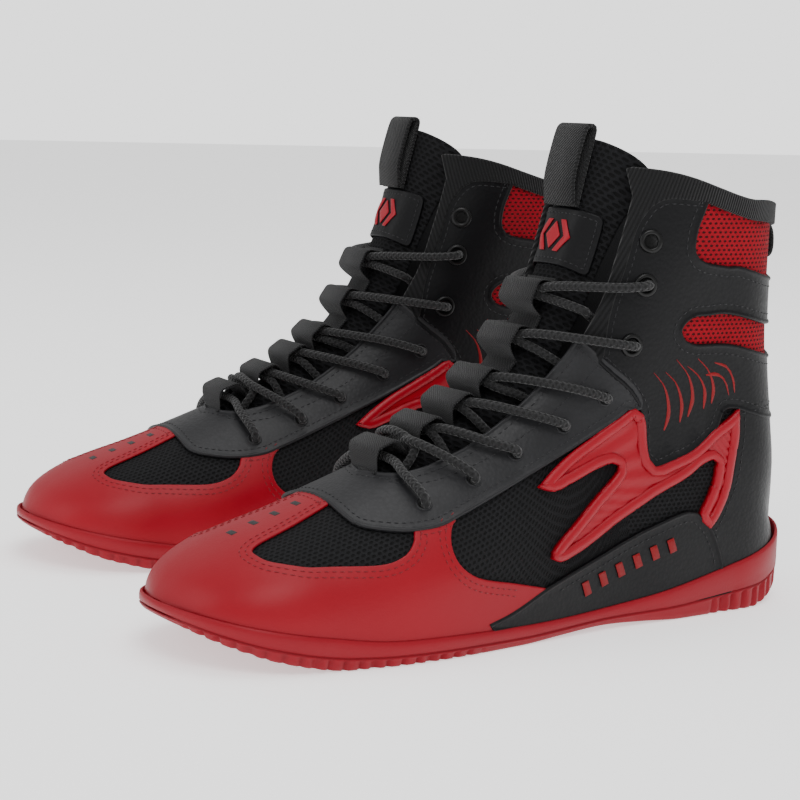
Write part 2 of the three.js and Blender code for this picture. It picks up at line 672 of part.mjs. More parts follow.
// One lace: up one side, across the foremost keeper and up the other, both ends tucked in the shaft.
function laceRoute() {
  const laced = HOLES.slice(0, 7);
  const over = (metal) => LACE_RADIUS + 0.9 + (metal ? BINDING_OUT + GAP : GAP + OVERLAY);
  const under = (metal) => -(LACE_RADIUS + (metal ? BINDING_IN + 0.8 : 1.6));
  const onTongue = TONGUE_CROWN + 0.6 + LACE_RADIUS;
  const onTape = onTongue + TAPE + GAP;
  const besideTape = TAPE_HALF + 1;
  // From a hole's inner mouth, under the facing, through the keeper and over to the next hole.
  const leg = (row, side, level) => {
    const [r, y, metal] = laced[row];
    const [nextR, nextY, nextMetal] = laced[row + 1];
    const [edge, nextEdge] = [throatHalf(r), throatHalf(nextR)];
    const free = row === 0; // the foremost crossing lies over the tape, between two keepers
    const keeper = free ? (KEEPERS[0] + KEEPERS[1]) / 2 : KEEPERS[row];
    const low = free ? onTape : onTongue;
    const { lerp } = THREE.MathUtils;
    const mouth = metal ? [[r, side * (edge - 2.3), -4.9], [r, side * (edge - 3.2), 0.5]] : [];
    return [
      [r, side * y, under(metal)],
      ...(metal ? mouth : [[lerp(r, keeper, 0.1), side * (edge - 2), -2.4]]),
      [lerp(r, keeper, free ? 1 : 0.85), side * besideTape, low],
      [keeper, 0, low + level * (2 * LACE_RADIUS + GAP + 0.4)],
      [lerp(keeper, nextR, free ? 0 : 0.17), -side * besideTape, low + 3],
      [lerp(keeper, nextR, 0.75), -side * (nextEdge + nextY) / 2, over(nextMetal) + 1.2],
      [nextR, -side * nextY, over(nextMetal) + (nextMetal ? 0.2 : 0)],
    ];
  };
  const climb = (start) => {
    const points = [];
    let side = start;
    for (let row = 0; row < laced.length - 1; row += 1) {
      points.push(...leg(row, side, side > 0 ? 1 : 0));
      side = -side;
    }
    const [r, y, metal] = laced[laced.length - 1];
    points.push([r, side * y, under(metal)], [r - 0.5, side * (y - 2), -10]);
    return points;
  };
  const [r, y] = laced[0];
  const edge = throatHalf(r);
  const bar = [
    [r, -y, over(false)],
    [r, -edge - 2, over(false) + 0.6],
    [KEEPERS[0], -besideTape, onTongue + 0.6],
    [KEEPERS[0], besideTape, onTongue + 0.6],
    [r, edge + 2, over(false) + 0.6],
    [r, y, over(false)],
  ];
  const route = [...climb(-1).reverse(), ...bar, ...climb(1)];
  return route.map(([ring, across, off]) => place(ring, across, off));
}

// A flat webbing band along a path in the boot's middle plane, x and z in pairs.
function band(path, halfWidth, thickness) {
  const section = new THREE.Shape([
    new THREE.Vector2(-halfWidth, -thickness / 2),
    new THREE.Vector2(halfWidth, -thickness / 2),
    new THREE.Vector2(halfWidth, thickness / 2),
    new THREE.Vector2(-halfWidth, thickness / 2),
  ]);
  const points = path.map(([x, z]) => new THREE.Vector3(x, 0, z));
  return new THREE.ExtrudeGeometry(section, {
    steps: points.length - 1,
    extrudePath: new Route(points),
    bevelEnabled: false,
  });
}

const TONGUE_LOOP_ROOT = 12.95;
const TONGUE_LOOP_HEIGHT = 33;
const TONGUE_LOOP_OPEN = 9;

function tongueLoop() {
  const root = place(TONGUE_LOOP_ROOT, 0, TONGUE_CROWN + 2 * GAP + WEBBING / 2);
  const up = place(TONGUE_LOOP_ROOT + 0.3, 0, TONGUE_CROWN).sub(place(TONGUE_LOOP_ROOT, 0, TONGUE_CROWN));
  up.normalize();
  const out = place(TONGUE_LOOP_ROOT, 0, 1).sub(place(TONGUE_LOOP_ROOT, 0, 0));
  const h = TONGUE_LOOP_HEIGHT;
  const w = TONGUE_LOOP_OPEN;
  const outline = [
    [0, 0], [h * 0.3, 0.6], [h * 0.65, 0.9], [h - 3, 1.2], [h, w / 2], [h - 3, w - 0.2], [h * 0.65, w],
    [h * 0.32, w - 0.6], [0.14 * h, WEBBING + 2], [0, WEBBING + GAP],
  ];
  const path = outline.map(([a, b]) => {
    const p = root.clone().addScaledVector(up, a).addScaledVector(out, b);
    return [p.x, p.z];
  });
  return solid(band(path, WEBBING_HALF, WEBBING));
}

const HEEL_LOOP_HALF = 6.5;
const HEEL_LOOP_Z = 166;
const HEEL_LOOP_DROP = 19;
const HEEL_LOOP_OPEN = 8.5;

function heelLoop() {
  const back = backAt(HEEL_LOOP_Z) - BINDING_OUT - GAP - WEBBING / 2 - 0.3;
  const z = scaleZ(HEEL_LOOP_Z);
  const d = HEEL_LOOP_DROP;
  const w = HEEL_LOOP_OPEN;
  const path = [
    [back, z], [back, z - d * 0.4], [back + 0.2, z - d * 0.75], [back - 1.5, z - d * 0.95],
    [back - w / 2, z - d], [back - w + 1, z - d * 0.95], [back - w, z - d * 0.72],
    [back - w + 1, z - d * 0.4], [back - WEBBING - 1.6, z - d * 0.12], [back - WEBBING - GAP, z + 1],
  ];
  return solid(band(path, HEEL_LOOP_HALF, WEBBING));
}

// x of the form's back line at a drawn height.
function backAt(height) {
  const points = backCurve.getPoints(200).filter((p) => p.x < scaleX(30));
  const z = scaleZ(height);
  return points.reduce((best, p) => (Math.abs(p.z - z) < Math.abs(best.z - z) ? p : best)).x;
}

// ---------------------------------------------------------------- one boot
const bed = MESH + GAP + LINING + GAP;
const PIECES = [
  ["outsole", outsole(), RED_RUBBER],
  ["insole_board", footbed(-8, bed + BOARD), LINING_BLACK],
  ["insole", footbed(bed + BOARD + GAP, bed + BOARD + GAP + INSOLE), LINING_BLACK],
  ["lining", lining(), LINING_BLACK],
  ["mesh_upper", meshUpper(), BLACK_MESH],
  ["toe_cap", toeCap(), RED],
  ["facings", facings(), CHARCOAL],
  ["ankle_panel_lateral", anklePanel(1), BLACK_LEATHER],
  ["ankle_panel_medial", anklePanel(-1), BLACK_LEATHER],
  ["ankle_mesh_lateral", ankleMesh(1), RED_MESH],
  ["ankle_mesh_medial", ankleMesh(-1), RED_MESH],
  ["side_flash_lateral", flash(1), RED],
  ["side_flash_medial", flash(-1), RED],
  ["saddle_lateral", saddle(1), BLACK_LEATHER],
  ["saddle_medial", saddle(-1), BLACK_LEATHER],
  ["heel_counter", heelCounter(), BLACK_LEATHER],
  ["collar_binding", collarBinding(), BLACK_MESH],
  ["tongue", tongueLower(), BLACK_MESH],
  ["tongue_top", tongueTop(), BLACK_MESH],
  ["tongue_label", label(), BLACK_LEATHER],
  ["tongue_loop", tongueLoop(), WEBBING_BLACK],
  ["keeper_tape", keeperTape(), WEBBING_BLACK],
  ["heel_loop", heelLoop(), WEBBING_BLACK],
  ["lace", solid(tube(laceRoute(), LACE_RADIUS, LACE_SIDES)), WEBBING_BLACK],
];
HOLES.filter((h) => h[2]).forEach((hole, i) => {
  PIECES.push([`eyelet_lateral_${i + 1}`, eyelet(hole, 1), BLACK_METAL]);
  PIECES.push([`eyelet_medial_${i + 1}`, eyelet(hole, -1), BLACK_METAL]);
});

function boot(name) {
  const group = new THREE.Group();
  for (const [piece, shape, finish] of PIECES) {
    const mesh = new THREE.Mesh(geometryOf(shape), new THREE.MeshStandardMaterial(finish));
    mesh.name = `${name}_${piece}`;
    group.add(mesh);
  }
  return group;
}

const left = boot("left");
left.rotation.z = THREE.MathUtils.degToRad(BOOT_YAW);

const right = boot("right");
right.scale.y = -1;
right.rotation.z = -THREE.MathUtils.degToRad(BOOT_YAW);
right.position.set(-HEEL_STAGGER, -BOOT_SPACING, 0);

const pair = new THREE.Group();
pair.add(left, right);

// The origin is under the middle of the pair's outer box, on the ground.
const box = new THREE.Box3().setFromObject(pair, true);
const middle = box.getCenter(new THREE.Vector3());
for (const one of [left, right]) {
  one.position.x -= middle.x;
  one.position.y -= middle.y;
  one.position.z -= box.min.z;
}

const group = new THREE.Group();
group.add(pair);

export default group;
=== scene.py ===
import math

import bmesh
import bpy
import numpy as np
from mathutils import Matrix, Vector
from mathutils.bvhtree import BVHTree


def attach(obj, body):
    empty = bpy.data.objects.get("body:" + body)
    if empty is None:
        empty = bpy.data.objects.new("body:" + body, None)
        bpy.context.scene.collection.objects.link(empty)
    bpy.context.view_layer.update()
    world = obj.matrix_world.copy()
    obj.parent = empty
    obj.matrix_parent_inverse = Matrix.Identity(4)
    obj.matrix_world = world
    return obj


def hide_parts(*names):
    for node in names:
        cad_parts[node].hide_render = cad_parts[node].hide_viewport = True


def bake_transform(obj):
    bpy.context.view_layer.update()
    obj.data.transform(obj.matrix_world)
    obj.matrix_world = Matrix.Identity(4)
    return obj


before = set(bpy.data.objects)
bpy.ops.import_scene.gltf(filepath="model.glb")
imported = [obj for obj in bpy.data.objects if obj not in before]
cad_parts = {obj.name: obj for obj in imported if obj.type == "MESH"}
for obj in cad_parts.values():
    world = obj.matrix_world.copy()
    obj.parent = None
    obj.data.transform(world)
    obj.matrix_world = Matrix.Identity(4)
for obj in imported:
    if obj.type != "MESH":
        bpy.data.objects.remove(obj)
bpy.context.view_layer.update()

# ---------------------------------------------------------------- where each boot stands
MM = 0.001
YAW = math.radians(2.4)
LEFT_PLACE = Matrix.Translation((-0.139673, 0.076, 0)) @ Matrix.Rotation(YAW, 4, "Z") @ Matrix.Scale(MM, 4)
MIRROR = Matrix.Diagonal((1, -1, 1, 1))
RIGHT_PLACE = (
    Matrix.Translation((-0.150073, -0.076, 0)) @ Matrix.Rotation(-YAW, 4, "Z") @ Matrix.Scale(MM, 4) @ MIRROR
)
PLACES = {"left": LEFT_PLACE, "right": RIGHT_PLACE}
SIDES = ((1, "lateral"), (-1, "medial"))

# ---------------------------------------------------------------- camera, light and stage
scene = bpy.context.scene


def make_camera():
    """The camera, given in the left boot's frame: place, azimuth, elevation, roll, focal length."""
    stand = Vector((614.6, 692.4, 204.9))
    azimuth, elevation, roll = (math.radians(v) for v in (59.29, 7.66, 1.68))
    level = math.cos(elevation)
    forward = Vector((-math.cos(azimuth) * level, -math.sin(azimuth) * level, -math.sin(elevation)))
    right = Vector((forward.y, -forward.x, 0)).normalized()
    up = right.cross(forward)
    level_right = math.cos(roll) * right + math.sin(roll) * up
    level_up = -math.sin(roll) * right + math.cos(roll) * up
    turn = Matrix.Rotation(YAW, 3, "Z")
    axes = Matrix([turn @ level_right, turn @ level_up, turn @ -forward]).transposed()
    data = bpy.data.cameras.new("camera")
    data.sensor_width = 36
    data.lens = 94.275
    data.shift_x = 0.045125
    data.shift_y = -0.01325
    data.clip_end = 20
    camera = bpy.data.objects.new("camera", data)
    camera.matrix_world = Matrix.Translation(LEFT_PLACE @ stand) @ axes.to_4x4()
    scene.collection.objects.link(camera)
    scene.camera = camera


def area_light(name, place, target, size, power):
    data = bpy.data.lights.new(name, "AREA")
    data.shape = "DISK"
    data.size = size
    data.energy = power
    light = bpy.data.objects.new(name, data)
    light.location = place
    light.rotation_euler = (Vector(target) - Vector(place)).to_track_quat("-Z", "Y").to_euler()
    scene.collection.objects.link(light)


make_camera()
area_light("key", (0.5, 1.3, 1.9), (0, 0, 0.05), 1.3, 22)
area_light("fill", (1.9, -0.4, 1.0), (0, 0, 0.08), 1.4, 9)
area_light("top", (-0.4, -0.2, 2.1), (0, 0, 0), 1.6, 14)


def make_studio():
    """Soft white light from all round, and a backdrop that is brighter than the light it gives."""
    world = bpy.data.worlds.new("studio")
    world.use_nodes = True
    tree = world.node_tree
    background = tree.nodes["Background"]
    background.inputs["Color"].default_value = (1, 1, 1, 1)
    seen = tree.nodes.new("ShaderNodeLightPath")
    strength = tree.nodes.new("ShaderNodeMapRange")
    strength.inputs["To Min"].default_value = 0.7
    strength.inputs["To Max"].default_value = 1.9
    tree.links.new(seen.outputs["Is Camera Ray"], strength.inputs["Value"])
    tree.links.new(strength.outputs["Result"], background.inputs["Strength"])
    scene.world = world


make_studio()

# ---------------------------------------------------------------- the boot's form
# x and z of the front curve, x and z of the back or bottom, how deep the front's rounding reaches.
RINGS = np.array([
    [289, 21, 288, 17, 6], [281, 32, 278, 14, 14], [262, 42, 262, 11, 26], [240, 49.5, 240, 8.5, 34],
    [220, 57, 216, 7.5, 40], [200, 65, 190, 7, 44], [183, 72.5, 160, 7, 46], [167, 81, 125, 8, 46],
    [152, 92, 85, 8.5, 46], [140, 104, 45, 9, 46], [130, 118, 8, 14, 46], [122, 134, 4, 40, 46],
    [115, 151, 10, 72, 47], [109.5, 168, 15, 110, 48], [105, 185, 17, 145, 48], [102, 202, 17, 182, 48]])
LAST = len(RINGS) - 1
FRONT_POWER, BACK_POWER, BACK_ROUND = 2.35, 2.2, 38.0
LATERAL = [(40, 31.5), (75, 34.5), (110, 36.5), (150, 42.5), (190, 48.5), (215, 49.5), (240, 47)]
MEDIAL = [(40, 31), (75, 32.5), (110, 33), (150, 38), (190, 45), (215, 47), (240, 44.5)]
SHAFT = [(40, 33), (60, 33), (80, 32.5), (100, 33), (125, 35), (150, 37.5), (175, 39), (202, 40)]


def spline(points, share):
    """Catmull-Rom through the points, its ends reflected; share runs from 0 to 1."""
    points = np.asarray(points, float)
    spans = len(points) - 1
    at = np.clip(share, 0, 1) * spans
    i = np.minimum(at.astype(int), spans - 1)
    s = at - i
    ends = np.concatenate([[2 * points[0] - points[1]], points, [2 * points[-1] - points[-2]]])
    a, b, c, d = ends[i], ends[i + 1], ends[i + 2], ends[i + 3]
    if points.ndim > 1:
        s = s[..., None]
    return 0.5 * (2 * b + (c - a) * s + (2 * a - 5 * b + 4 * c - d) * s**2 + (3 * b - a - 3 * c + d) * s**3)


def through(knots, x):
    """A smooth function through (x, value) knots."""
    knots = np.asarray(knots, float)
    xs, values = knots[:, 0], knots[:, 1]
    slope = np.empty(len(xs))
    slope[1:-1] = (values[2:] - values[:-2]) / (xs[2:] - xs[:-2])
    slope[0] = (values[1] - values[0]) / (xs[1] - xs[0])
    slope[-1] = (values[-1] - values[-2]) / (xs[-1] - xs[-2])
    x = np.clip(x, xs[0], xs[-1])
    i = np.clip(np.searchsorted(xs, x) - 1, 0, len(xs) - 2)
    h = xs[i + 1] - xs[i]
    s = (x - xs[i]) / h
    start = values[i] * (2 * s**3 - 3 * s**2 + 1) + h * slope[i] * (s**3 - 2 * s**2 + s)
    return start + values[i + 1] * (3 * s**2 - 2 * s**3) + h * slope[i + 1] * (s**3 - s**2)


def ease(x, start, end):
    s = np.clip((np.asarray(x, float) - start) / (end - start), 0, 1)
    return s * s * (3 - 2 * s)


def plan_half(x, side):
    """Half width of the upper in plan, rounded at the heel and the toe."""
    x = np.asarray(x, float)
    middle = np.where(side > 0, through(LATERAL, x), through(MEDIAL, x))
    heel = 1 - ((40 - np.minimum(x, 40)) / 40) ** 2
    toe = 1 - ((np.maximum(x, 240) - 240) / 50) ** 2.3
    return middle * np.sqrt(np.clip(heel, 0, 1)) * np.sqrt(np.clip(toe, 0, 1))


def rounded(depth, radius, power):
    return (1 - (1 - np.clip(depth / radius, 0, 1)) ** power) ** (1 / power)


def form_point(u, t, side):
    front, back = spline(RINGS[:, :2], u), spline(RINGS[:, 2:4], u)
    length = np.linalg.norm(back - front, axis=-1)
    x, z = np.moveaxis(front + (back - front) * t[..., None], -1, 0)
    shaft = ease(z, 30, 85)
    width = plan_half(np.maximum(x, 14), side) * (1 - shaft) + through(SHAFT, z) * shaft
    half = width * rounded(t * length, spline(RINGS[:, 4], u), FRONT_POWER)
    is_back = ease(back[..., 1], 12, 30)
    shaped = half * (1 - is_back + is_back * rounded((1 - t) * length, BACK_ROUND, BACK_POWER))
    heel = (1 - is_back) * (1 - ease(x, 8, 45))
    shaped = shaped * (1 - heel) + heel * np.minimum(half, plan_half(np.maximum(x, 0), side))
    return np.stack([x, side * shaped, z], -1)


# A point of the form's cover: a runs from the toe to the collar, b round the boot from the front curve,
# to the left side positive, in rough millimetres. Past the back it carries on along the other side.
RING_RUN = 19.0
GIRTH = 110.0
SPREAD = 2.2


def cover_point(a, b):
    side = np.where(b < 0, -1.0, 1.0)
    tau = np.abs(b) / GIRTH
    side = np.where(tau > 1, -side, side)
    tau = np.clip(np.where(tau > 1, 2 - tau, tau), 0, 1)
    t = tau**SPREAD / (tau**SPREAD + (1 - tau) ** SPREAD)
    return form_point(a / RING_RUN / LAST, t, side)


def cover(a, b):
    """Points of the form and its outward normals."""
    a, b = np.asarray(a, float), np.asarray(b, float)
    run = cover_point(a + 0.6, b) - cover_point(a - 0.6, b)
    girth = cover_point(a, b + 0.6) - cover_point(a, b - 0.6)
    normal = np.cross(girth, run)
    return cover_point(a, b), normal / (np.linalg.norm(normal, axis=-1, keepdims=True) + 1e-9)


def at_side(points, side=1):
    """Cover coordinates of side-view points (x, z)."""
    points = np.asarray(points, float)
    shares = np.linspace(0, 1, 601)
    front, back = spline(RINGS[:, :2], shares), spline(RINGS[:, 2:4], shares)
    along = back - front
    result = []
    for p in points:
        away = p - front
        off = along[:, 0] * away[:, 1] - along[:, 1] * away[:, 0]
        t = (away * along).sum(1) / (along**2).sum(1)
        crossing = np.where((off[:-1] * off[1:] <= 0) & (t[:-1] > -0.3) & (t[:-1] < 1.3))[0]
        if len(crossing):
            i = crossing[np.argmin(np.abs(t[crossing] - 0.5))]
            s = off[i] / (off[i] - off[i + 1] + 1e-12)
            u, t = shares[i] + s / 600, t[i] * (1 - s) + t[i + 1] * s
        else:
            i = np.argmin(np.abs(off) / np.linalg.norm(along, axis=1))
            u, t = shares[i], t[i]
        t = min(max(t, 0), 1)
        tau = t ** (1 / SPREAD) / (t ** (1 / SPREAD) + (1 - t) ** (1 / SPREAD))
        result.append((u * LAST * RING_RUN, side * tau * GIRTH))
    return result


def girth_of(a, y):
    """Cover coordinate b of the places at lengthwise a that stand y away from the middle plane."""
    a, y = np.broadcast_arrays(np.asarray(a, float), np.asarray(y, float))
    flat = []
    for one_a, one_y in zip(a.ravel(), y.ravel()):
        b = np.linspace(0, 0.6 * GIRTH, 60) * (1 if one_y >= 0 else -1)
        reach = np.maximum.accumulate(np.abs(cover_point(np.full(60, one_a), b)[:, 1]))
        flat.append(np.interp(abs(one_y), reach, b))
    return np.array(flat).reshape(a.shape)


def at_ridge(rows, side=1):
    """Cover coordinates of places given by ring number and distance y from the middle plane."""
    return [(r * RING_RUN, float(girth_of(r * RING_RUN, side * y))) for r, y in rows]


def ridge(a, b):
    """As cover, with b the true distance from the middle plane."""
    return cover(a, girth_of(a, b))


def place(r, y, n):
    point, normal = ridge(np.array([r * RING_RUN]), np.array([float(y)]))
    return point[0] + normal[0] * n


# ---------------------------------------------------------------- making a panel
def run_along(points):
    """How far along the path each of its points lies."""
    return np.concatenate([[0], np.cumsum(np.linalg.norm(np.diff(points, axis=0), axis=1))])


def directions(path):
    tangent = np.gradient(path, axis=0)
    return tangent / np.linalg.norm(tangent, axis=1, keepdims=True)


def at_run(at, run, values):
    """The path's values at distances along it."""
    return np.stack([np.interp(at, run, values[:, k]) for k in range(values.shape[1])], -1)


def run_through(points, step=2.0):
    """A smooth path through the points, its own points about a step apart."""
    points = np.asarray(points, float)
    count = max(int(np.linalg.norm(np.diff(points, axis=0), axis=1).sum() / step), 2)
    if len(points) < 3:
        return points[0] + (points[-1] - points[0]) * np.linspace(0, 1, count + 1)[:, None]
    fine = spline(points, np.linspace(0, 1, 40 * len(points)))
    run = run_along(fine)
    return at_run(np.linspace(0, run[-1], count + 1), run, fine)


def outline(*segments, step=2.0):
    """A closed outline of smooth segments that meet at corners."""
    points = np.concatenate([run_through(s, step)[:-1] for s in segments])
    keep = np.linalg.norm(points - np.roll(points, 1, 0), axis=1) > 0.05
    return points[keep]


def mirrored(path):
    """The path on the other side, run the other way."""
    return [(a, -b) for a, b in reversed(list(path))]


def round_the_back(path):
    """The path's other half beyond the back, run the other way."""
    return [(a, 2 * GIRTH - b) for a, b in reversed(list(path))]


def coordinates(verts):
    return np.array([v.co[:] for v in verts])


def gridded(points, cell):
    """A flat face of the outline, cut into cells."""
    bm = bmesh.new()
    bm.faces.new([bm.verts.new((p[0], p[1], 0)) for p in points])
    low, high = points.min(0), points.max(0)
    for axis in (0, 1):
        normal = [0, 0, 0]
        normal[axis] = 1
        for at in np.arange(low[axis] + cell[axis] / 2, high[axis], cell[axis]):
            centre = [0, 0, 0]
            centre[axis] = at
            everything = bm.verts[:] + bm.edges[:] + bm.faces[:]
            bmesh.ops.bisect_plane(bm, geom=everything, dist=1e-4, plane_co=centre, plane_no=normal)
    bmesh.ops.remove_doubles(bm, verts=bm.verts[:], dist=0.12)
    bmesh.ops.dissolve_degenerate(bm, edges=bm.edges[:], dist=0.02)
    bmesh.ops.delete(bm, geom=[v for v in bm.verts if not v.link_faces], context="VERTS")
    return bm


# A rim's rows, from a panel's top edge: how far outwards and how far up, in mm.
SOFT_RIM = [(0.18, -0.03), (0.45, -0.16), (0.65, -0.45), (0.7, -1.0)]
PIPED_RIM = [(0.3, 0.1), (0.7, 0.5), (1.2, 0.6), (1.7, 0.35), (1.95, -0.2), (2.0, -0.9)]


def value_of(height, a, b):
    return height(a, b) if callable(height) else np.full(len(a), float(height))


def panel(points, surface=cover, top=1.4, bottom=0.05, rim=SOFT_RIM, cell=(3.5, 3.5), edges=None):
    """A closed panel on a surface. edges collects each edge's points, normals and outward directions,
    with a search tree of the panel."""
    bm = gridded(points, cell)
    a, b = coordinates(bm.verts)[:, :2].T
    base, normals = surface(a, b)
    upper = base + normals * value_of(top, a, b)[:, None]
    lower = base + normals * value_of(bottom, a, b)[:, None]
    index = {v: i for i, v in enumerate(bm.verts)}
    faces = bm.faces[:]
    rims = [e for e in bm.edges if e.is_boundary]
    copy = bmesh.ops.duplicate(bm, geom=faces)
    twin = {v: copy["vert_map"][v] for v in index}
    for v, i in index.items():
        twin[v].co = lower[i]
        v.co = upper[i]
    bm.normal_update()
    turned = sum(f.normal.dot(Vector(normals[index[f.verts[0]]])) * f.calc_area() for f in faces) < 0
    if turned:
        bmesh.ops.reverse_faces(bm, faces=faces)
    else:
        bmesh.ops.reverse_faces(bm, faces=[f for f in copy["geom"] if isinstance(f, bmesh.types.BMFace)])
    after = {}
    for e in rims:
        loop = e.link_loops[0]
        after[loop.vert] = loop.link_loop_next.vert
    before = {w: v for v, w in after.items()}
    out, normal_at = {}, {}
    for v in after:
        tangent = (after[v].co - before[v].co) if v in before else Vector((1, 0, 0))
        normal_at[v] = Vector(normals[index[v]])
        out[v] = tangent.cross(normal_at[v]).normalized()
    chains, done = [], set()
    for v in after:
        chain = []
        while v in after and v not in done:
            done.add(v)
            chain.append([v.co[:], normal_at[v][:], out[v][:]])
            v = after[v]
        if chain:
            chains.append(np.array(chain))
    row, row_edges = {v: v for v in after}, rims
    for reach, rise in rim:
        made = bmesh.ops.extrude_edge_only(bm, edges=row_edges)["geom"]
        fresh = dict.fromkeys(g for g in made if isinstance(g, bmesh.types.BMVert))
        row_edges = [g for g in made if isinstance(g, bmesh.types.BMEdge) and set(g.verts) <= fresh.keys()]
        following = {}
        for w in fresh:
            for e in w.link_edges:
                o = e.other_vert(w)
                if o in row:
                    following[w] = row[o]
        for w, origin in following.items():
            w.co = Vector(upper[index[origin]]) + out[origin] * reach + normal_at[origin] * rise
        row = following
    for w, origin in row.items():
        twin[origin].co = w.co
    bmesh.ops.weld_verts(bm, targetmap={w: twin[origin] for w, origin in row.items()})
    bmesh.ops.recalc_face_normals(bm, faces=bm.faces[:])
    if edges is not None:
        face = BVHTree.FromBMesh(bm)
        edges += [(chain, face) for chain in chains]
    return bm


# ---------------------------------------------------------------- from a bmesh to the two boots' pieces
def unroll_vamp(p):
    """Pattern coordinates in mm over the foot: along the boot and round it from the ridge."""
    ridge_z = np.interp(-p[:, 0], -RINGS[:, 0], RINGS[:, 1])
    return np.stack([p[:, 0], np.sign(p[:, 1]) * np.hypot(p[:, 1], ridge_z - p[:, 2])], 1)


def unroll_shaft(p):
    """Pattern coordinates in mm over the shaft: round it and up it."""
    return np.stack([np.arctan2(p[:, 1], 52 - p[:, 0]) * 38, p[:, 2]], 1)


def unroll_band(p):
    """Pattern coordinates in mm on a band across the boot: across it and along it."""
    return np.stack([p[:, 1], p[:, 2] - 0.6 * p[:, 0]], 1)


def piece(name, bm, finish, body, replaces=(), unroll=None, wrap=None):
    """One object for each boot from a bmesh in the left boot's millimetres; a u wraps round at wrap."""
    bm.verts.index_update()
    if unroll is not None:
        flat = unroll(coordinates(bm.verts)) if callable(unroll) else unroll
        layer = bm.loops.layers.uv.new("UVMap")
        for face in bm.faces:
            turn = [flat[loop.vert.index][0] for loop in face.loops]
            wraps = wrap is not None and max(turn) - min(turn) > wrap / 2
            for loop in face.loops:
                u, v = flat[loop.vert.index]
                loop[layer].uv = (u + wrap if wraps and u < wrap / 2 else u, v)
    made = {}
    for side, matrix in PLACES.items():
        mesh = bpy.data.meshes.new(f"{side}_{name}")
        bm.to_mesh(mesh)
        mesh.transform(matrix)
        if side == "right":
            mesh.flip_normals()
        mesh.shade_smooth()
        mesh.materials.append(finish)
        obj = bpy.data.objects.new(f"{side}_{name}", mesh)
        scene.collection.objects.link(obj)
        if body:
            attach(obj, f"{side}_{body}")
        if replaces:
            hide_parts(*[f"{side}_{node}" for node in replaces])
        made[side] = obj
    bm.free()
    return made


# ---------------------------------------------------------------- finishes
class Signal:
    """A shader socket that takes part in arithmetic."""

    def __init__(self, finish, socket):
        self.finish = finish
        self.socket = socket

    def maths(self, operation, *values):
        return self.finish.add("Math", {"operation": operation}, dict(enumerate(values)))[0]

    def __add__(self, other):
        return self.maths("ADD", self, other)

    def __sub__(self, other):
        return self.maths("SUBTRACT", self, other)

    def __rsub__(self, other):
        return self.maths("SUBTRACT", other, self)

    def __mul__(self, other):
        return self.maths("MULTIPLY", self, other)

    def __truediv__(self, other):
        return self.maths("DIVIDE", self, other)

    __radd__ = __add__
    __rmul__ = __mul__

    def floor(self):
        return self.maths("FLOOR", self)

    def fract(self):
        return self.maths("FRACT", self)

    def wave(self):
        return self.maths("SINE", self * (2 * math.pi))

    def top(self, other):
        return self.maths("MAXIMUM", self, other)

    def over(self, start, end):
        """0 before start, 1 after end, eased between."""
        sockets = {0: self, 1: start, 2: end, 3: 0.0, 4: 1.0}
        return self.finish.add("MapRange", {"interpolation_type": "SMOOTHSTEP"}, sockets)[0]


class Finish:
    """A material and the few ways its nodes are made."""

    def __init__(self, name, colour, roughness, **shader):
        self.material = bpy.data.materials.new(name)
        self.material.use_nodes = True
        self.tree = self.material.node_tree
        self.shader = self.tree.nodes["Principled BSDF"]
        self.colour = (*colour, 1)
        self.feed(self.shader.inputs["Base Color"], self.colour)
        self.feed(self.shader.inputs["Roughness"], roughness)
        for key, value in shader.items():
            self.feed(self.shader.inputs[key.replace("_", " ")], value)

    def feed(self, socket, value):
        if isinstance(value, Signal):
            self.tree.links.new(value.socket, socket)
        else:
            socket.default_value = value

    def add(self, kind, settings=None, sockets=None):
        node = self.tree.nodes.new("ShaderNode" + kind)
        for key, value in (settings or {}).items():
            setattr(node, key, value)
        for key, value in (sockets or {}).items():
            self.feed(node.inputs[key], value)
        return [Signal(self, socket) for socket in node.outputs]

    def mix(self, share, a, b):
        return self.add("Mix", {"data_type": "RGBA"}, {0: share, 6: a, 7: b})[2]

    def noise(self, scale, detail=2.0):
        place = self.add("TexCoord")[3]
        return self.add("TexNoise", {}, {"Vector": place, "Scale": scale, "Detail": detail})[0]

    def cells(self, scale):
        place = self.add("TexCoord")[3]
        return self.add("TexVoronoi", {}, {"Vector": place, "Scale": scale})[0]

    def flat_place(self):
        """The piece's own pattern coordinates, in millimetres."""
        uv = self.add("UVMap")[0]
        across, along, _ = self.add("SeparateXYZ", {}, {0: uv})
        return across, along

    def paint(self, colour=None, roughness=None, relief=None, depth=0.0002):
        if colour is not None:
            self.feed(self.shader.inputs["Base Color"], colour)
        if roughness is not None:
            self.feed(self.shader.inputs["Roughness"], roughness)
        if relief is not None:
            bump = self.add("Bump", {}, {"Strength": 1.0, "Distance": depth, "Height": relief})[0]
            self.feed(self.shader.inputs["Normal"], bump)
        return self.material


def darker(colour, share):
    return tuple(c * share for c in colour) + (1,)


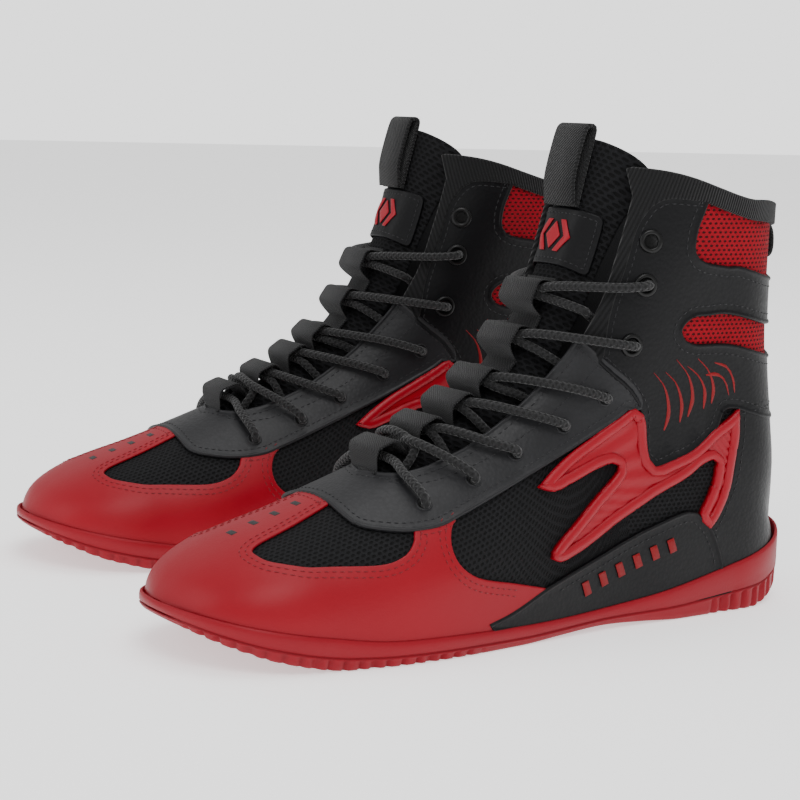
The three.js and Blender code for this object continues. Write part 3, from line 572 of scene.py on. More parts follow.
def open_mesh(name, colour, pitch=(2.5, 1.8), hole=(0.72, 0.5), depth=0.0005):
    """Spacer mesh: rows of small oval holes, each row shifted by half a pitch; the holes are painted
    near-black, as painted shade of the hollow behind them.
    """
    f = Finish(name, colour, 0.85, Specular_IOR_Level=0.2)
    across, along = f.flat_place()
    row = (along / pitch[1]).floor()
    shifted = across / pitch[0] + (row * 0.5).fract()
    u = (shifted.fract() - 0.5) * (pitch[0] / hole[0])
    v = ((along / pitch[1]).fract() - 0.5) * (pitch[1] / hole[1])
    away = u * u + v * v
    solid_part = away.over(0.5, 1.8)
    knit = (across * 1.9 + along * 1.9).wave() * (across * 1.9 - along * 1.9).wave()
    yarn = f.mix(f.noise(60), darker(colour, 0.85), darker(colour, 1.2))
    # the holes take the colour at 0.12: painted shade, not a colour of the yarn
    shade = f.mix(solid_part, darker(colour, 0.12), yarn)
    return f.paint(shade, 0.8 + 0.1 * f.noise(400), solid_part + knit * 0.06, depth)


def grained(name, colour, roughness, grain=620, depth=0.00012, spread=0.12, **shader):
    """Fine-grained leather; the creases between the pebbles are painted darker, as painted shade."""
    f = Finish(name, colour, roughness, **shader)
    pebble = f.cells(grain)
    wide = f.noise(28, 3)
    tone = f.mix(wide, darker(colour, 1 - spread * 1.5), darker(colour, 1 + spread * 1.5))
    # the borders between the pebbles, the grain's creases, are painted darker: painted shade
    tone = f.mix(pebble.over(0.25, 0.75) * 0.35, tone, darker(colour, 0.55))
    gloss = roughness - 0.08 + 0.12 * wide + pebble * 0.08
    return f.paint(tone, gloss, (1 - pebble) * 0.7 + f.noise(2400) * 0.3, depth)


def coated(name, colour, roughness, **shader):
    """Smooth coated synthetic with a very fine grain and faint stretch marks."""
    f = Finish(name, colour, roughness, **shader)
    wide = f.noise(18, 3)
    fine = f.cells(1500)
    tone = f.mix(wide, darker(colour, 0.86), darker(colour, 1.1))
    gloss = roughness - 0.05 + wide * 0.1 + fine * 0.06
    return f.paint(tone, gloss, fine * 0.4 + f.noise(160, 4) * 1.4, 0.00007)


def moulded(name, colour, roughness, **shader):
    f = Finish(name, colour, roughness, **shader)
    wide = f.noise(22, 3)
    tone = f.mix(wide, darker(colour, 0.88), darker(colour, 1.1))
    return f.paint(tone, roughness - 0.05 + wide * 0.12, f.noise(1100, 3), 0.00006)


def braided(name, colour):
    """Round braid: strands crossing both ways round the cord; the strands' crowns are painted lighter and
    the grooves between them darker, as painted light and shade.
    """
    f = Finish(name, colour, 0.75, Specular_IOR_Level=0.35, Sheen_Weight=0.15)
    round_it, along = f.flat_place()
    one = (along / 2.4 + round_it * 4).wave()
    other = (along / 2.4 - round_it * 4).wave()
    strand = one.top(other)
    # crowns painted lighter and grooves darker: painted light and painted shade
    tone = f.mix(strand.over(-0.2, 0.9), darker(colour, 0.35), darker(colour, 1.25))
    return f.paint(tone, 0.78 - strand * 0.06, strand, 0.00025)


def twilled(name, colour, pitch=1.1, depth=0.0002):
    """Woven tape with a fine diagonal rib; the rib's crowns are painted lighter and its grooves darker, as
    painted light and shade.
    """
    f = Finish(name, colour, 0.8, Specular_IOR_Level=0.3, Sheen_Weight=0.1)
    across, along = f.flat_place()
    rib = ((across + along) / pitch).wave()
    weft = ((across - along * 0.3) / (pitch * 0.45)).wave()
    relief = rib * 0.7 + weft * 0.3
    # crowns painted lighter and grooves darker: painted light and painted shade
    tone = f.mix(relief.over(-0.7, 0.8), darker(colour, 0.45), darker(colour, 1.3))
    return f.paint(tone, 0.82 - relief * 0.05, relief, depth)


def ribbed(name, colour, pitch=1.5):
    """Overlocked binding: close ribs across the band; the ribs' crowns are painted lighter and the grooves
    darker, as painted light and shade.
    """
    f = Finish(name, colour, 0.85, Specular_IOR_Level=0.25, Sheen_Weight=0.1)
    across, along = f.flat_place()
    rib = ((across + along * 0.25) / pitch).wave()
    # crowns painted lighter and grooves darker: painted light and painted shade
    tone = f.mix(rib.over(-0.6, 0.7), darker(colour, 0.4), darker(colour, 1.25))
    return f.paint(tone, 0.88, rib + f.noise(900) * 0.6, 0.00016)


def brushed(name, colour):
    f = Finish(name, colour, 0.95, Specular_IOR_Level=0.2, Sheen_Weight=0.2)
    nap = f.noise(1400, 3)
    return f.paint(f.mix(nap, darker(colour, 0.7), darker(colour, 1.25)), 0.93, nap, 0.0002)


def enamelled(name, colour, **shader):
    f = Finish(name, colour, 0.28, **shader)
    return f.paint(None, 0.24 + f.noise(300) * 0.1, f.noise(500), 0.00002)


RED = (0.27, 0.0006, 0.009)
black_mesh = open_mesh("black spacer mesh", (0.0085, 0.0085, 0.0095), depth=0.0007)
tongue_mesh = open_mesh("black tongue mesh", (0.007, 0.007, 0.008), (2.8, 2.2), (0.85, 0.66), 0.0007)
red_mesh = open_mesh("red knitted mesh", (0.25, 0.001, 0.008), (2.5, 1.8), (0.62, 0.42), 0.0004)
black_leather = grained("black leather", (0.0025, 0.0025, 0.0032), 0.42, Specular_IOR_Level=0.2)
charcoal_leather = grained("charcoal leather", (0.0095, 0.0095, 0.011), 0.46, Specular_IOR_Level=0.33)
red_synthetic = coated("red coated synthetic", RED, 0.42, Specular_IOR_Level=0.25)
red_moulding = moulded("red moulding", (0.29, 0.0008, 0.01), 0.36, Specular_IOR_Level=0.3)
sole_rubber = moulded("red sole rubber", (0.25, 0.0008, 0.009), 0.48, Specular_IOR_Level=0.25)
lace_braid = braided("black lace braid", (0.0055, 0.0055, 0.006))
tape_twill = twilled("black tape", (0.006, 0.006, 0.0068))
webbing = twilled("black webbing", (0.0055, 0.0055, 0.006), 1.6, 0.0003)
binding_knit = ribbed("black binding", (0.0055, 0.0055, 0.006), 1.1)
lining_cloth = brushed("black lining", (0.01, 0.01, 0.011))
eyelet_enamel = enamelled("black enamel", (0.01, 0.01, 0.01), Metallic=0.6)
black_thread = twilled("black thread", (0.02, 0.02, 0.022), 0.6, 0.00005)
red_thread = twilled("dark red thread", (0.2, 0.006, 0.012), 0.6, 0.00005)
red_print = coated("red print", (0.2, 0.001, 0.003), 0.45, Specular_IOR_Level=0.25)
deep_shadow = brushed("hole shadow", (0.002, 0.002, 0.002))

# ---------------------------------------------------------------- outlines
# Ring and half width of the lace opening; ring, distance from the middle and kind (1: metal eyelet) of
# each hole; rings of the keepers. The outlines below are side-view points (x, z) of the lateral side.
THROAT = [(4.72, 0), (4.9, 11), (5.3, 17.5), (6, 20), (8, 21), (10, 24), (11, 26.5), (15, 27.5)]
HOLES = [(5.2, 31.2, 0), (6.4, 29.4, 0), (7.45, 28.1, 0), (8.6, 29.4, 0), (9.65, 31.4, 0),
         (10.9, 32.6, 1), (12.1, 33.4, 1), (12.9, 33.1, 1)]
KEEPERS = [5.3, 6.45, 7.4, 8.25, 9.6, 10.8]


def throat_half(r):
    return float(through(THROAT, np.array([r]))[0])


def back_x(z):
    return float(np.interp(z, RINGS[10:, 3], RINGS[10:, 2])) + 1.0


def throat_edge(rows, side=1, back_by=0.0):
    return at_ridge([(r, throat_half(r) + back_by) for r in rows], side)


def side_outline(segments, side):
    return outline(*[at_side(s, side) for s in segments])


FACING_BORDER = [(207, 48.3), (193, 49.3), (180, 53.3), (154, 63.3), (127, 75.3), (116, 81), (101, 90)]
FACING_FRONT = [(3.87, 0), (3.85, 12), (3.86, 23)]


def facing_side(side):
    """Outer path from the ridge backwards, then the inner one back to the ridge."""
    outer = at_ridge(FACING_FRONT, side)[1:] + at_side([(219.5, 49.5)] + FACING_BORDER, side)
    outer = [(FACING_FRONT[0][0] * RING_RUN, 0.0)] + outer
    rear = at_side([(101, 90), (95, 89.3), (99, 97), (111, 106.5)], side)
    inner = throat_edge([10.25, 9.5, 8.6, 7.7, 6.8, 6, 5.5, 5.2, 4.98, 4.83], side)
    return outer, rear + inner[:1], inner + [(THROAT[0][0] * RING_RUN, 0.0)]


def facing_outline():
    lateral, medial = facing_side(1), facing_side(-1)
    paths = [*lateral, *[list(reversed(path)) for path in reversed(medial)]]
    return outline(*paths)


WINDOW_LOWER = [(259, 38), (250, 36.8), (241, 36.5), (221, 36.5), (210, 39), (204, 43.5), (201.5, 48.2)]
WING = [(181, 53), (187, 48.5), (190, 42), (188, 35), (179, 29), (160, 24.5), (144, 20.8)]
CAP_TIP, CAP_GIRTH = 0.3, GIRTH * 0.98


def cap_side(side):
    strap = at_ridge([(3.84, 11.5), (3.0, 14.2), (2.3, 16.6), (2.08, 18.2)], side)
    corner = at_ridge([(2.03, 19.5)], side) + at_side([(261.5, 39.5)], side)
    window = strap + corner + at_side(WINDOW_LOWER, side)
    along = at_side([(201.5, 48.6), (193, 49.6), (181, 53.4)], side)
    wing = at_side(WING, side)
    lower = at_side([(144, 20.8), (149, 16.8), (172, 8.6)], side)
    toe = [(r * RING_RUN, side * CAP_GIRTH) for r in (7.2, 5, 3, 1.4)] + [(CAP_TIP, side * CAP_GIRTH)]
    return window, along, wing, lower, toe


def cap_outline():
    lateral = cap_side(1)
    medial = [list(reversed(path)) for path in reversed(cap_side(-1))]
    across = [(CAP_TIP, CAP_GIRTH), (CAP_TIP, -CAP_GIRTH)]
    back = [medial[-1][-1], (3.87 * RING_RUN, 0.0), lateral[0][0]]
    return outline(*lateral, across, *medial, back)


PANEL_FRONT = [(112, 108), (108, 127), (101.5, 146), (97, 161), (92, 169.3)]
WINDOW_TOP = [(71, 172), (75, 161), (75.5, 151), (70, 146), (56, 143.6), (44, 142), (back_x(141), 141)]
BAR = [(back_x(126), 126), (44, 126), (66, 127.3), (75, 125), (78.5, 119), (72, 112.7), (44, 110.2),
       (back_x(109), 109)]
PANEL_FOOT = [(back_x(89), 89), (43, 87.5), (57, 77.5), (73, 68.5), (86, 64.8)]
PANEL_TOE = [(86, 64.8), (91, 69), (92, 78), (92.5, 88), (99, 97), (106, 102.5), (112, 108)]


def ankle_outline(side):
    return side_outline([
        PANEL_FRONT, [(92, 169.3), (86, 172.6), (71, 172)], WINDOW_TOP, [WINDOW_TOP[-1], BAR[0]], BAR,
        [BAR[-1], PANEL_FOOT[0]], PANEL_FOOT, PANEL_TOE], side)


def red_mesh_outline(side):
    return side_outline([
        [(82, 104), (84, 122), (82, 150), (76, 172.5)], [(76, 172.5), (47, 166), (back_x(164), 164)],
        [(back_x(164), 164), (back_x(103), 103)], [(back_x(103), 103), (82, 104)]], side)


FLASH = [
    [(144.5, 60), (136, 66.3), (127, 72.3), (116, 78.5), (101, 87.3), (96, 88), (92.6, 84.5), (91.4, 75),
     (90, 68), (86, 64.2), (73, 67.6), (57, 76.6), (43.5, 86)],
    [(43.5, 86), (42.8, 74), (45, 60), (48.5, 47), (56, 37)],
    [(56, 37), (61.5, 42.5), (57, 51), (54, 60), (53.5, 65), (57, 65.8), (65, 62.5), (85, 53.7), (105, 44.5),
     (126, 34.5), (137, 31.3), (141, 33.5), (138, 37.5), (130, 43.5), (118, 53.2), (108, 61), (104.5, 65),
     (107, 67.5), (115, 66.3), (129, 61), (138, 58.2), (144.5, 60)]]
SADDLE_TOP = [(172, 9.5), (149, 17), (134, 22.6), (110, 30.6), (90, 37.6), (69, 43), (62, 41), (56, 35.5)]


def saddle_outline(side):
    rear = at_side([(56, 35.5), (51, 26), (48.5, 15)], side)
    lower = [rear[-1], (8.9 * RING_RUN, side * GIRTH * 0.97), (7.1 * RING_RUN, side * GIRTH * 0.97)]
    top = at_side(SADDLE_TOP, side)
    return outline(top, rear, lower, [lower[-1], top[0]])


def counter_outline():
    """Heel counter with the strap that runs up the back, crossing the middle of the back."""
    front = at_side([(55.5, 36), (47.6, 47.5), (43, 61), (41.5, 76), (42.3, 86.5)])
    shelf = at_side([(42.3, 86.5), (30, 88), (20, 89), (back_x(90) + 1.2, 92)])
    strap = at_side([(back_x(92) + 0.7, 92), (back_x(120), 120), (back_x(163) - 0.3, 163.5)])
    over = [strap[-1], (strap[-1][0], GIRTH), round_the_back(strap)[0]]
    low = at_side([(48, 15.5), (51, 26), (55.5, 36)])
    base = [round_the_back(low)[-1], (10.55 * RING_RUN, GIRTH + 16), (10.55 * RING_RUN, GIRTH - 16), low[0]]
    return outline(
        front, shelf, strap, over, round_the_back(strap), round_the_back(shelf), round_the_back(front),
        round_the_back(low), base, low)


COLLAR_TOP = [(98, 183.5), (86, 182.3), (76, 180), (63, 176), (48, 172), (30, 170.6)]


def collar_outline():
    """The binding band from the throat up and round the back of the collar."""
    inner = throat_edge([10.45, 11.3, 12.2, 13, 13.6], 1, 0.4)
    top = at_side(COLLAR_TOP) + [(at_side([(17.5, 170.5)])[0][0], GIRTH)]
    low = [(at_side([(17, 163)])[0][0], GIRTH)] + at_side([(30, 163.4), (47, 165.6), (71, 172.6)])
    rise = at_side([(71, 172.6), (86, 173.2), (92.6, 169.6)])
    front = at_side([(92.6, 169.6), (97.6, 161), (102.2, 146), (108.6, 127), (112.4, 108.5)])
    half = [inner, [inner[-1], top[0]], top]
    back = [low, rise, front, [front[-1], inner[0]]]
    far_half, far_back = ([round_the_back(path) for path in reversed(paths)] for paths in (half, back))
    return outline(*half, *far_half, *far_back, *back)


def upper_outline(back_by, top_by):
    """The whole cover with the throat cut out and its seam at the back and under the foot."""
    edge = throat_edge([5.0, 5.3, 6, 7, 8, 9, 10, 11, 12, 13, 13.5], 1, back_by)
    top = at_side([(92, 181 + top_by), (76, 178.5 + top_by), (63, 174.5 + top_by), (48, 170.5 + top_by)])
    top += [(at_side([(17.5, 169 + top_by)])[0][0], GIRTH - 0.2)]
    start = (THROAT[0][0] * RING_RUN - back_by * 0.7, 0.0)
    lateral = [[start, *edge], [edge[-1], top[0]], top, [top[-1], (6, GIRTH - 0.2)]]
    medial = [mirrored(path) for path in reversed(lateral)]
    return outline(*lateral, [(6, GIRTH - 0.2), (6, 0.2 - GIRTH)], *medial, step=3.0)


# ---------------------------------------------------------------- stitches
def stitch_row(paths, pitch=3.0, length=2.2, width=0.5):
    """Short stitches along paths of (point, normal) in mm."""
    bm = bmesh.new()
    for points, normals in paths:
        run = run_along(points)
        for at in np.arange(pitch / 2, run[-1], pitch):
            behind, spot, ahead = at_run(np.clip([at - 1, at, at + 1], 0, run[-1]), run, points)
            up = Vector(at_run(at, run, normals)).normalized()
            forward = Vector(ahead - behind).normalized()
            across = up.cross(forward).normalized()
            turn = Matrix([forward, across, forward.cross(across)]).transposed().to_4x4()
            shape = Matrix.Diagonal((length / 2, width / 2, width * 0.45, 1))
            matrix = Matrix.Translation(Vector(spot)) @ turn @ shape
            bmesh.ops.create_icosphere(bm, subdivisions=1, radius=1, matrix=matrix)
    return bm


def cover_path(points, lift):
    """Points and normals of a path on the form, lifted off it."""
    flat = run_through(points)
    base, normals = cover(flat[:, 0], flat[:, 1])
    return base + normals * lift, normals


def inset_path(edge, inset, keep=None):
    """The edge of a panel moved inwards over its face; keep picks the points of it to sew."""
    (chain, face), runs, run = edge, [], []
    chain = np.concatenate([chain, chain[:1]])
    chosen = np.full(len(chain), True) if keep is None else keep(chain[:, 0])
    for (point, normal, out), good in zip(chain, chosen):
        if good:
            seat, up, *_ = face.find_nearest(Vector(point - out * inset + normal * 0.3))
            run.append((seat + up * 0.06, up))
        elif run:
            runs.append(run)
            run = []
    runs.append(run)
    return [(np.array([p for p, _ in r]), np.array([n for _, n in r])) for r in runs if len(r) > 3]


def sew(name, paths, thread, body, **size):
    piece(name, stitch_row(paths, **size), thread, body)


# ---------------------------------------------------------------- the upper's panels
OVERLAY_TOP = 1.5


def make_upper():
    rim = [(0.15, -0.3), (0.2, -0.75)]
    base = panel(upper_outline(3.2, 1.0), top=0.0, bottom=-1.5, rim=rim, cell=(3, 3.5))
    piece("mesh_vamp", base, black_mesh, "boot", ["mesh_upper"], unroll_vamp)
    inside = panel(upper_outline(4.4, 0), top=-1.85, bottom=-2.9, rim=[(0.1, -0.5)], cell=(4, 4.5))
    piece("lining_cloth", inside, lining_cloth, "boot", ["lining"], None)


def make_overlay(name, shape, finish, node, slot, top=OVERLAY_TOP, **form):
    """A panel sewn on the outside of the boot; gives its edge, for the stitches."""
    edges = []
    piece(name, panel(shape, top=top, edges=edges, **form), finish, "boot", [node], None)
    return edges[0]


def make_leather(name, shape, node, **form):
    return make_overlay(name, shape, black_leather, node, "black_leather", **form)


def make_window(side, name):
    """The red mesh that shows between the bars of the ankle panel."""
    window = panel(red_mesh_outline(side), top=0.34, bottom=0.03, rim=[(0.05, -0.1)], cell=(3, 3))
    piece(f"ankle_window_{name}", window, red_mesh, "boot", [f"ankle_mesh_{name}"], unroll_shaft)


def make_collar():
    """A padded ribbed band on both faces of the collar's edge."""
    rim = [(0.35, 0.0), (0.8, -0.5), (1.05, -1.3), (1.0, -2.4)]
    band = panel(collar_outline(), top=2.3, bottom=-2.7, rim=rim, cell=(2.4, 3))
    piece("collar_edge", band, binding_knit, "boot", ["collar_binding"], unroll_shaft)


make_upper()
cap_edge = make_overlay(
    "toe_mudguard", cap_outline(), red_synthetic, "toe_cap", "red_synthetic", top=1.45, cell=(3, 3))
facing_edge = make_overlay(
    "lace_facings", facing_outline(), charcoal_leather, "facings", "charcoal_leather", top=1.55,
    bottom=0.08, rim=PIPED_RIM, cell=(3, 3))
ankle_edges, saddle_edges = {}, {}
for sign, word in SIDES:
    ankle_edges[word] = make_leather(
        f"ankle_leather_{word}", ankle_outline(sign), f"ankle_panel_{word}", bottom=0.35,
        rim=PIPED_RIM, cell=(3, 3))
    make_window(sign, word)
    saddle_edges[word] = make_leather(
        f"side_saddle_{word}", saddle_outline(sign), f"saddle_{word}", rim=PIPED_RIM)
counter_edge = make_leather(
    "heel_cup_leather", counter_outline(), "heel_counter", bottom=0.4, cell=(3.5, 3))
make_collar()


# ---------------------------------------------------------------- red side flash
def make_flash(side, name):
    shape = side_outline(FLASH, side)
    edges = []
    infill = panel(shape, top=1.45, bottom=0.05, rim=[(0.1, -0.4)], cell=(0.9, 0.9), edges=edges)
    rib_relief(infill, side)
    bead = flash_bead(edges[0][0])
    node = f"side_flash_{name}"
    piece(f"flash_infill_{name}", infill, red_moulding, "boot", [node], None)
    piece(f"flash_border_{name}", bead, red_moulding, "boot", (), None)


RIB_PITCH = 3.0
RIB_HEIGHT = 0.8


def rib_relief(bm, side):
    """Raises parallel ribs, running back and down, on the outer face of the infill."""
    bm.normal_update()
    for v in bm.verts:
        outward = v.normal.y * side
        if outward > 0.55:
            phase = (v.co.x * 0.42 + v.co.z * 0.9) / RIB_PITCH
            v.co += v.normal * RIB_HEIGHT * (0.5 + 0.5 * math.cos(2 * math.pi * phase))


def flash_bead(edge, width=4.6, height=1.7):
    """A smooth raised border that follows the flash's edge."""
    points, normals, out = edge[:, 0], edge[:, 1], edge[:, 2]
    inward = -out
    for _ in range(3):
        inward = (np.roll(inward, 1, 0) + inward + np.roll(inward, -1, 0)) / 3
    return swept([
        points - inward * 0.25 - normals * 1.35,
        points - inward * 0.3 + normals * (height - 0.9),
        points + inward * 0.3 + normals * (height - 0.3),
        points + inward * 1.2 + normals * height,
        points + inward * (width * 0.5) + normals * (height + 0.1),
        points + inward * (width - 1.2) + normals * (height - 0.3),
        points + inward * (width - 0.5) + normals * (height - 0.9),
        points + inward * (width - 0.35) - normals * 0.5], ring=True)


def swept(rows, ring=False):
    """A closed mesh from closed rows of points: the last row is joined to the first, or both are capped."""
    bm = bmesh.new()
    loops = []
    for row in rows:
        verts = [bm.verts.new(p) for p in row]
        loops.append([bm.edges.new((verts[i - 1], verts[i])) for i in range(len(verts))])
    for one, other in zip(loops, loops[1:] + (loops[:1] if ring else [])):
        bmesh.ops.bridge_loops(bm, edges=one + other)
    if not ring:
        bmesh.ops.holes_fill(bm, edges=loops[0] + loops[-1], sides=0)
    bmesh.ops.recalc_face_normals(bm, faces=bm.faces[:])
    return bm


# ---------------------------------------------------------------- outsole
# Height of the sole's underside and of its upper edge along the boot.
GROUND = [(0, 9), (12, 4), (26, 0), (70, 0), (90, 1.2), (112, 2), (135, 1), (155, 0), (235, 0), (262, 5),
          (278, 10.5), (290, 16)]
RIM_TOP = [(0, 33), (12, 28), (30, 23), (50, 18.5), (82, 12.5), (117, 9), (150, 8), (190, 9), (220, 10),
           (245, 13.5), (270, 18), (290, 22)]
# How far the rim stands out from the upper, how far in the section reaches, and the width of a slab.
RIM_OUT, INWARD, SLAB = 2.6, -11, 8


def sole_perimeter(count=420):
    """Plan points of the upper's outline at the sole, from the heel along the lateral side and back."""
    angle = np.linspace(0, np.pi, count // 2)
    x = 145 - 145 * np.cos(angle)
    lateral = np.stack([x, plan_half(x, 1)], 1)
    medial = np.stack([x, -plan_half(x, -1)], 1)[::-1]
    closed = np.concatenate([lateral, medial[1:-1], lateral[:1]])
    run = run_along(closed)
    return at_run(np.linspace(0, run[-1], count + 1)[:-1], run, closed)


def make_outsole():
    plan = sole_perimeter()
    tangent = np.roll(plan, -1, 0) - np.roll(plan, 1, 0)
    out = np.stack([tangent[:, 1], -tangent[:, 0]], 1)
    out /= np.linalg.norm(out, axis=1, keepdims=True)
    out *= np.sign((out * (plan - [140, 0])).sum(1))[:, None]
    low = np.maximum(through(GROUND, plan[:, 0]), 0)
    high = through(RIM_TOP, plan[:, 0])
    run = np.arange(len(plan)) * 1.7
    tread = ease(plan[:, 0], 172, 186) * (1 - ease(plan[:, 0], 283, 289)) + 1 - ease(plan[:, 0], 48, 58)
    notch = (np.abs((run / 6.4) % 1 - 0.5) < 0.16).astype(float) * tread

    def row(reach, height):
        spot = plan + out * np.broadcast_to(reach, len(plan))[:, None]
        return np.column_stack([spot, np.broadcast_to(height, len(plan))])

    wall = high - low
    groove = low + wall * 0.42
    rows = [
        row(INWARD, low), row(-1.2, low), row(RIM_OUT - 1.6 - notch * 1.5, low + 0.15),
        row(RIM_OUT - 0.9 - notch * 1.9, low + 0.9), row(RIM_OUT - 0.4 - notch * 1.9, low + 2.6),
        row(RIM_OUT - 0.2 - notch * 1.5, groove - 1.1), row(RIM_OUT, groove - 0.55),
        row(RIM_OUT - 0.7, groove - 0.2), row(RIM_OUT - 0.7, groove + 0.2),
        row(RIM_OUT + 0.05, groove + 0.55), row(RIM_OUT + 0.1, high - 1.6),
        row(RIM_OUT - 0.15, high - 0.5), row(RIM_OUT - 0.7, high), row(1.5, high), row(1.1, high - 0.6),
        row(0.6, high - 3), row(-1.5, low + 4.2), row(INWARD, low + 4.2)]
    sole = swept(rows)
    # the wide flat faces at both ends of the section are cut into slabs across the boot
    flat = set(sole.faces)
    for at in np.arange(SLAB, 284, SLAB):
        wide = [f for f in sole.faces if len(f.verts) > 4 and f in flat or len(f.verts) > 8]
        around = dict.fromkeys(g for f in wide for g in (*f.verts, *f.edges, f))
        cut = bmesh.ops.bisect_plane(
            sole, geom=list(around), dist=1e-4, plane_co=(at, 0, 0), plane_no=(1, 0, 0))
        flat = {g for g in cut["geom"] if isinstance(g, bmesh.types.BMFace)}
    piece("red_outsole", sole, sole_rubber, "boot", ["outsole"], None)


# ---------------------------------------------------------------- tongue, its label and its tape
TONGUE_CROWN, TONGUE_EDGE, TONGUE_BACK = 1.0, -5.4, -7.4
TONGUE_SIDE = [(5, 0.8), (8, 0.8), (10.3, 5.5), (12.4, 5.5), (13.2, 1.5), (13.6, -2), (14.0, -5.5), (15, -6)]
FOLD = 11.5
LABEL_HALF = 18.5


def tongue_half(r):
    return throat_half(r) - float(through(TONGUE_SIDE, np.array([r]))[0])


def tongue_outer(a, b):
    """Height of the tongue's face over the boot's form; puffed near the top."""
    share = np.abs(b) / np.array([tongue_half(r) for r in a / RING_RUN])
    puff = 0.9 * ease(a / RING_RUN, 12.9, 13.5) * (1 - ease(share, 0.3, 0.9))
    return TONGUE_CROWN + puff + (TONGUE_EDGE - TONGUE_CROWN) * ease(share, 0.3, 1.05)


def make_tongue():
    rows = [5.1, 6, 7, 8, 9, 10, 11, 12, 13, 13.6, 14.05]
    lateral = [(r * RING_RUN, tongue_half(r)) for r in rows]
    top = [lateral[-1], (14.33 * RING_RUN, 26), (14.52 * RING_RUN, 13), (14.58 * RING_RUN, 0)]
    foot = (5.1 * RING_RUN, 0)
    medial = mirrored(lateral)
    shape = outline([foot, lateral[0]], lateral, top, mirrored(top), medial, [medial[-1], foot])
    rim = [(0.35, -0.25), (0.6, -0.7), (0.6, -1.3), (0.3, -1.8)]
    bm = panel(shape, ridge, top=tongue_outer, bottom=TONGUE_BACK, rim=rim, cell=(3, 3))
    made = piece("mesh_tongue", bm, tongue_mesh, None, ["tongue", "tongue_top"], unroll_band)
    for side, tongue in made.items():
        matrix = PLACES[side]
        start, end = (matrix @ Vector(place(FOLD + step, 0, -3)) for step in (-0.55, 0.55))
        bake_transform(tongue)


def on_label(a, b):
    return tongue_outer(a, b) + 0.35


def label_box(r0, r1, half, corner=1.6):
    """A rectangle between two rings, its corners rounded."""
    low, high, near = r0 * RING_RUN, r1 * RING_RUN, corner * 0.3
    turns = [
        [(high - corner, -half), (high - near, -half + near), (high, -half + corner)],
        [(high, half - corner), (high - near, half - near), (high - corner, half)],
        [(low + corner, half), (low + near, half - near), (low, half - corner)],
        [(low, -half + corner), (low + near, -half + near), (low + corner, -half)]]
    sides = [[before[-1], turn[0]] for before, turn in zip(turns[-1:] + turns, turns)]
    return outline(*[path for side, turn in zip(sides, turns) for path in (side, turn)])


def make_label():
    shape = label_box(11.62, 12.88, LABEL_HALF)
    edges = []
    bm = panel(
        shape, ridge, top=lambda a, b: on_label(a, b) + 1.5, bottom=on_label, cell=(3, 3), edges=edges)
    piece("label_patch", bm, black_leather, "tongue_flap", ["tongue_label"], None)
    sew("label_stitches", inset_path(edges[0], 1.7), black_thread, "tongue_flap", pitch=2.4, length=1.7)
    # a plain mark: a diamond between two chevrons
    marks = [panel(
        shape, ridge, top=lambda a, b: on_label(a, b) + 2.05, bottom=lambda a, b: on_label(a, b) + 1.4,
        rim=[(0.15, -0.1), (0.2, -0.4)], cell=(2, 2)) for shape in label_marks()]
    piece("label_mark", joined(marks), red_moulding, "tongue_flap")


def label_marks():
    middle = 12.25 * RING_RUN
    yield outline(*corners([(middle - 6, 0), (middle, 4.2), (middle + 6, 0), (middle, -4.2)]))
    for side in (1, -1):
        tip, back, wide = 6.8, 2.8, 2.6
        yield outline(*corners([
            (middle - 7, side * back), (middle - 7, side * (back + wide)), (middle, side * (tip + wide)),
            (middle + 7, side * (back + wide)), (middle + 7, side * back), (middle, side * tip)]))


def corners(points):
    return [[p, q] for p, q in zip(points, points[1:] + points[:1])]


def joined(parts):
    """Several bmeshes as one."""
    whole = bmesh.new()
    for part in parts:
        mesh = bpy.data.meshes.new("part")
        part.to_mesh(mesh)
        whole.from_mesh(mesh)
        bpy.data.meshes.remove(mesh)
        part.free()
    return whole


LACE_RADIUS, LACE_SIDES = 1.85, 12
KEEPER_RISE, KEEPER_REACH = 9.0, 7.4
TAPE_HALF, TAPE = 9.5, 1.0


def ring_speed(r):
    ends = spline(RINGS[:, :2], np.array([r - 0.05, r + 0.05]) / LAST)
    return float(np.linalg.norm(ends[1] - ends[0])) / 0.1


def make_tape():
    """The tape down the tongue, standing off as a rounded loop at each keeper."""
    stations = np.arange(4.85, 11.32, 0.035)
    inner = TAPE_HALF - 0.35
    section = [(-inner, 0), (inner, 0), (TAPE_HALF, 0.3), (TAPE_HALF, 0.7), (inner, TAPE), (-inner, TAPE),
               (-TAPE_HALF, 0.7), (-TAPE_HALF, 0.3)]
    rows, flat, run = [], [], 0.0
    last = None
    for r in stations:
        speed = ring_speed(r)
        nearest = min(abs(k - r) for k in KEEPERS) * speed
        lift = TONGUE_CROWN + 0.25
        if nearest < KEEPER_REACH:
            lift += KEEPER_RISE * (1 - (nearest / KEEPER_REACH) ** 5) ** 0.8
        row = [place(r, y, lift + h) for y, h in section]
        if last is not None:
            run += float(np.linalg.norm(row[1] - last))
        last = row[1]
        rows.append(row)
        flat += [(y, run) for y, h in section]
    piece("tape_with_loops", swept(rows), tape_twill, "boot", ["keeper_tape"], np.array(flat))


# ---------------------------------------------------------------- eyelets and punched holes
def disc_frame(r, y):
    centre, normal = ridge(np.array([r * RING_RUN]), np.array([float(y)]))
    up = Vector(normal[0])
    across = up.orthogonal().normalized()
    return centre[0], np.array(up), np.array(across), np.array(up.cross(across))


def circles(r, y, profile, sides=28):
    """Circles of the profile's radii and heights round a place on the form."""
    centre, up, across, along = disc_frame(r, y)
    angle = np.linspace(0, 2 * np.pi, sides, endpoint=False)[:, None]
    circle = np.cos(angle) * across + np.sin(angle) * along
    return [centre + up * height + circle * radius for radius, height in profile]


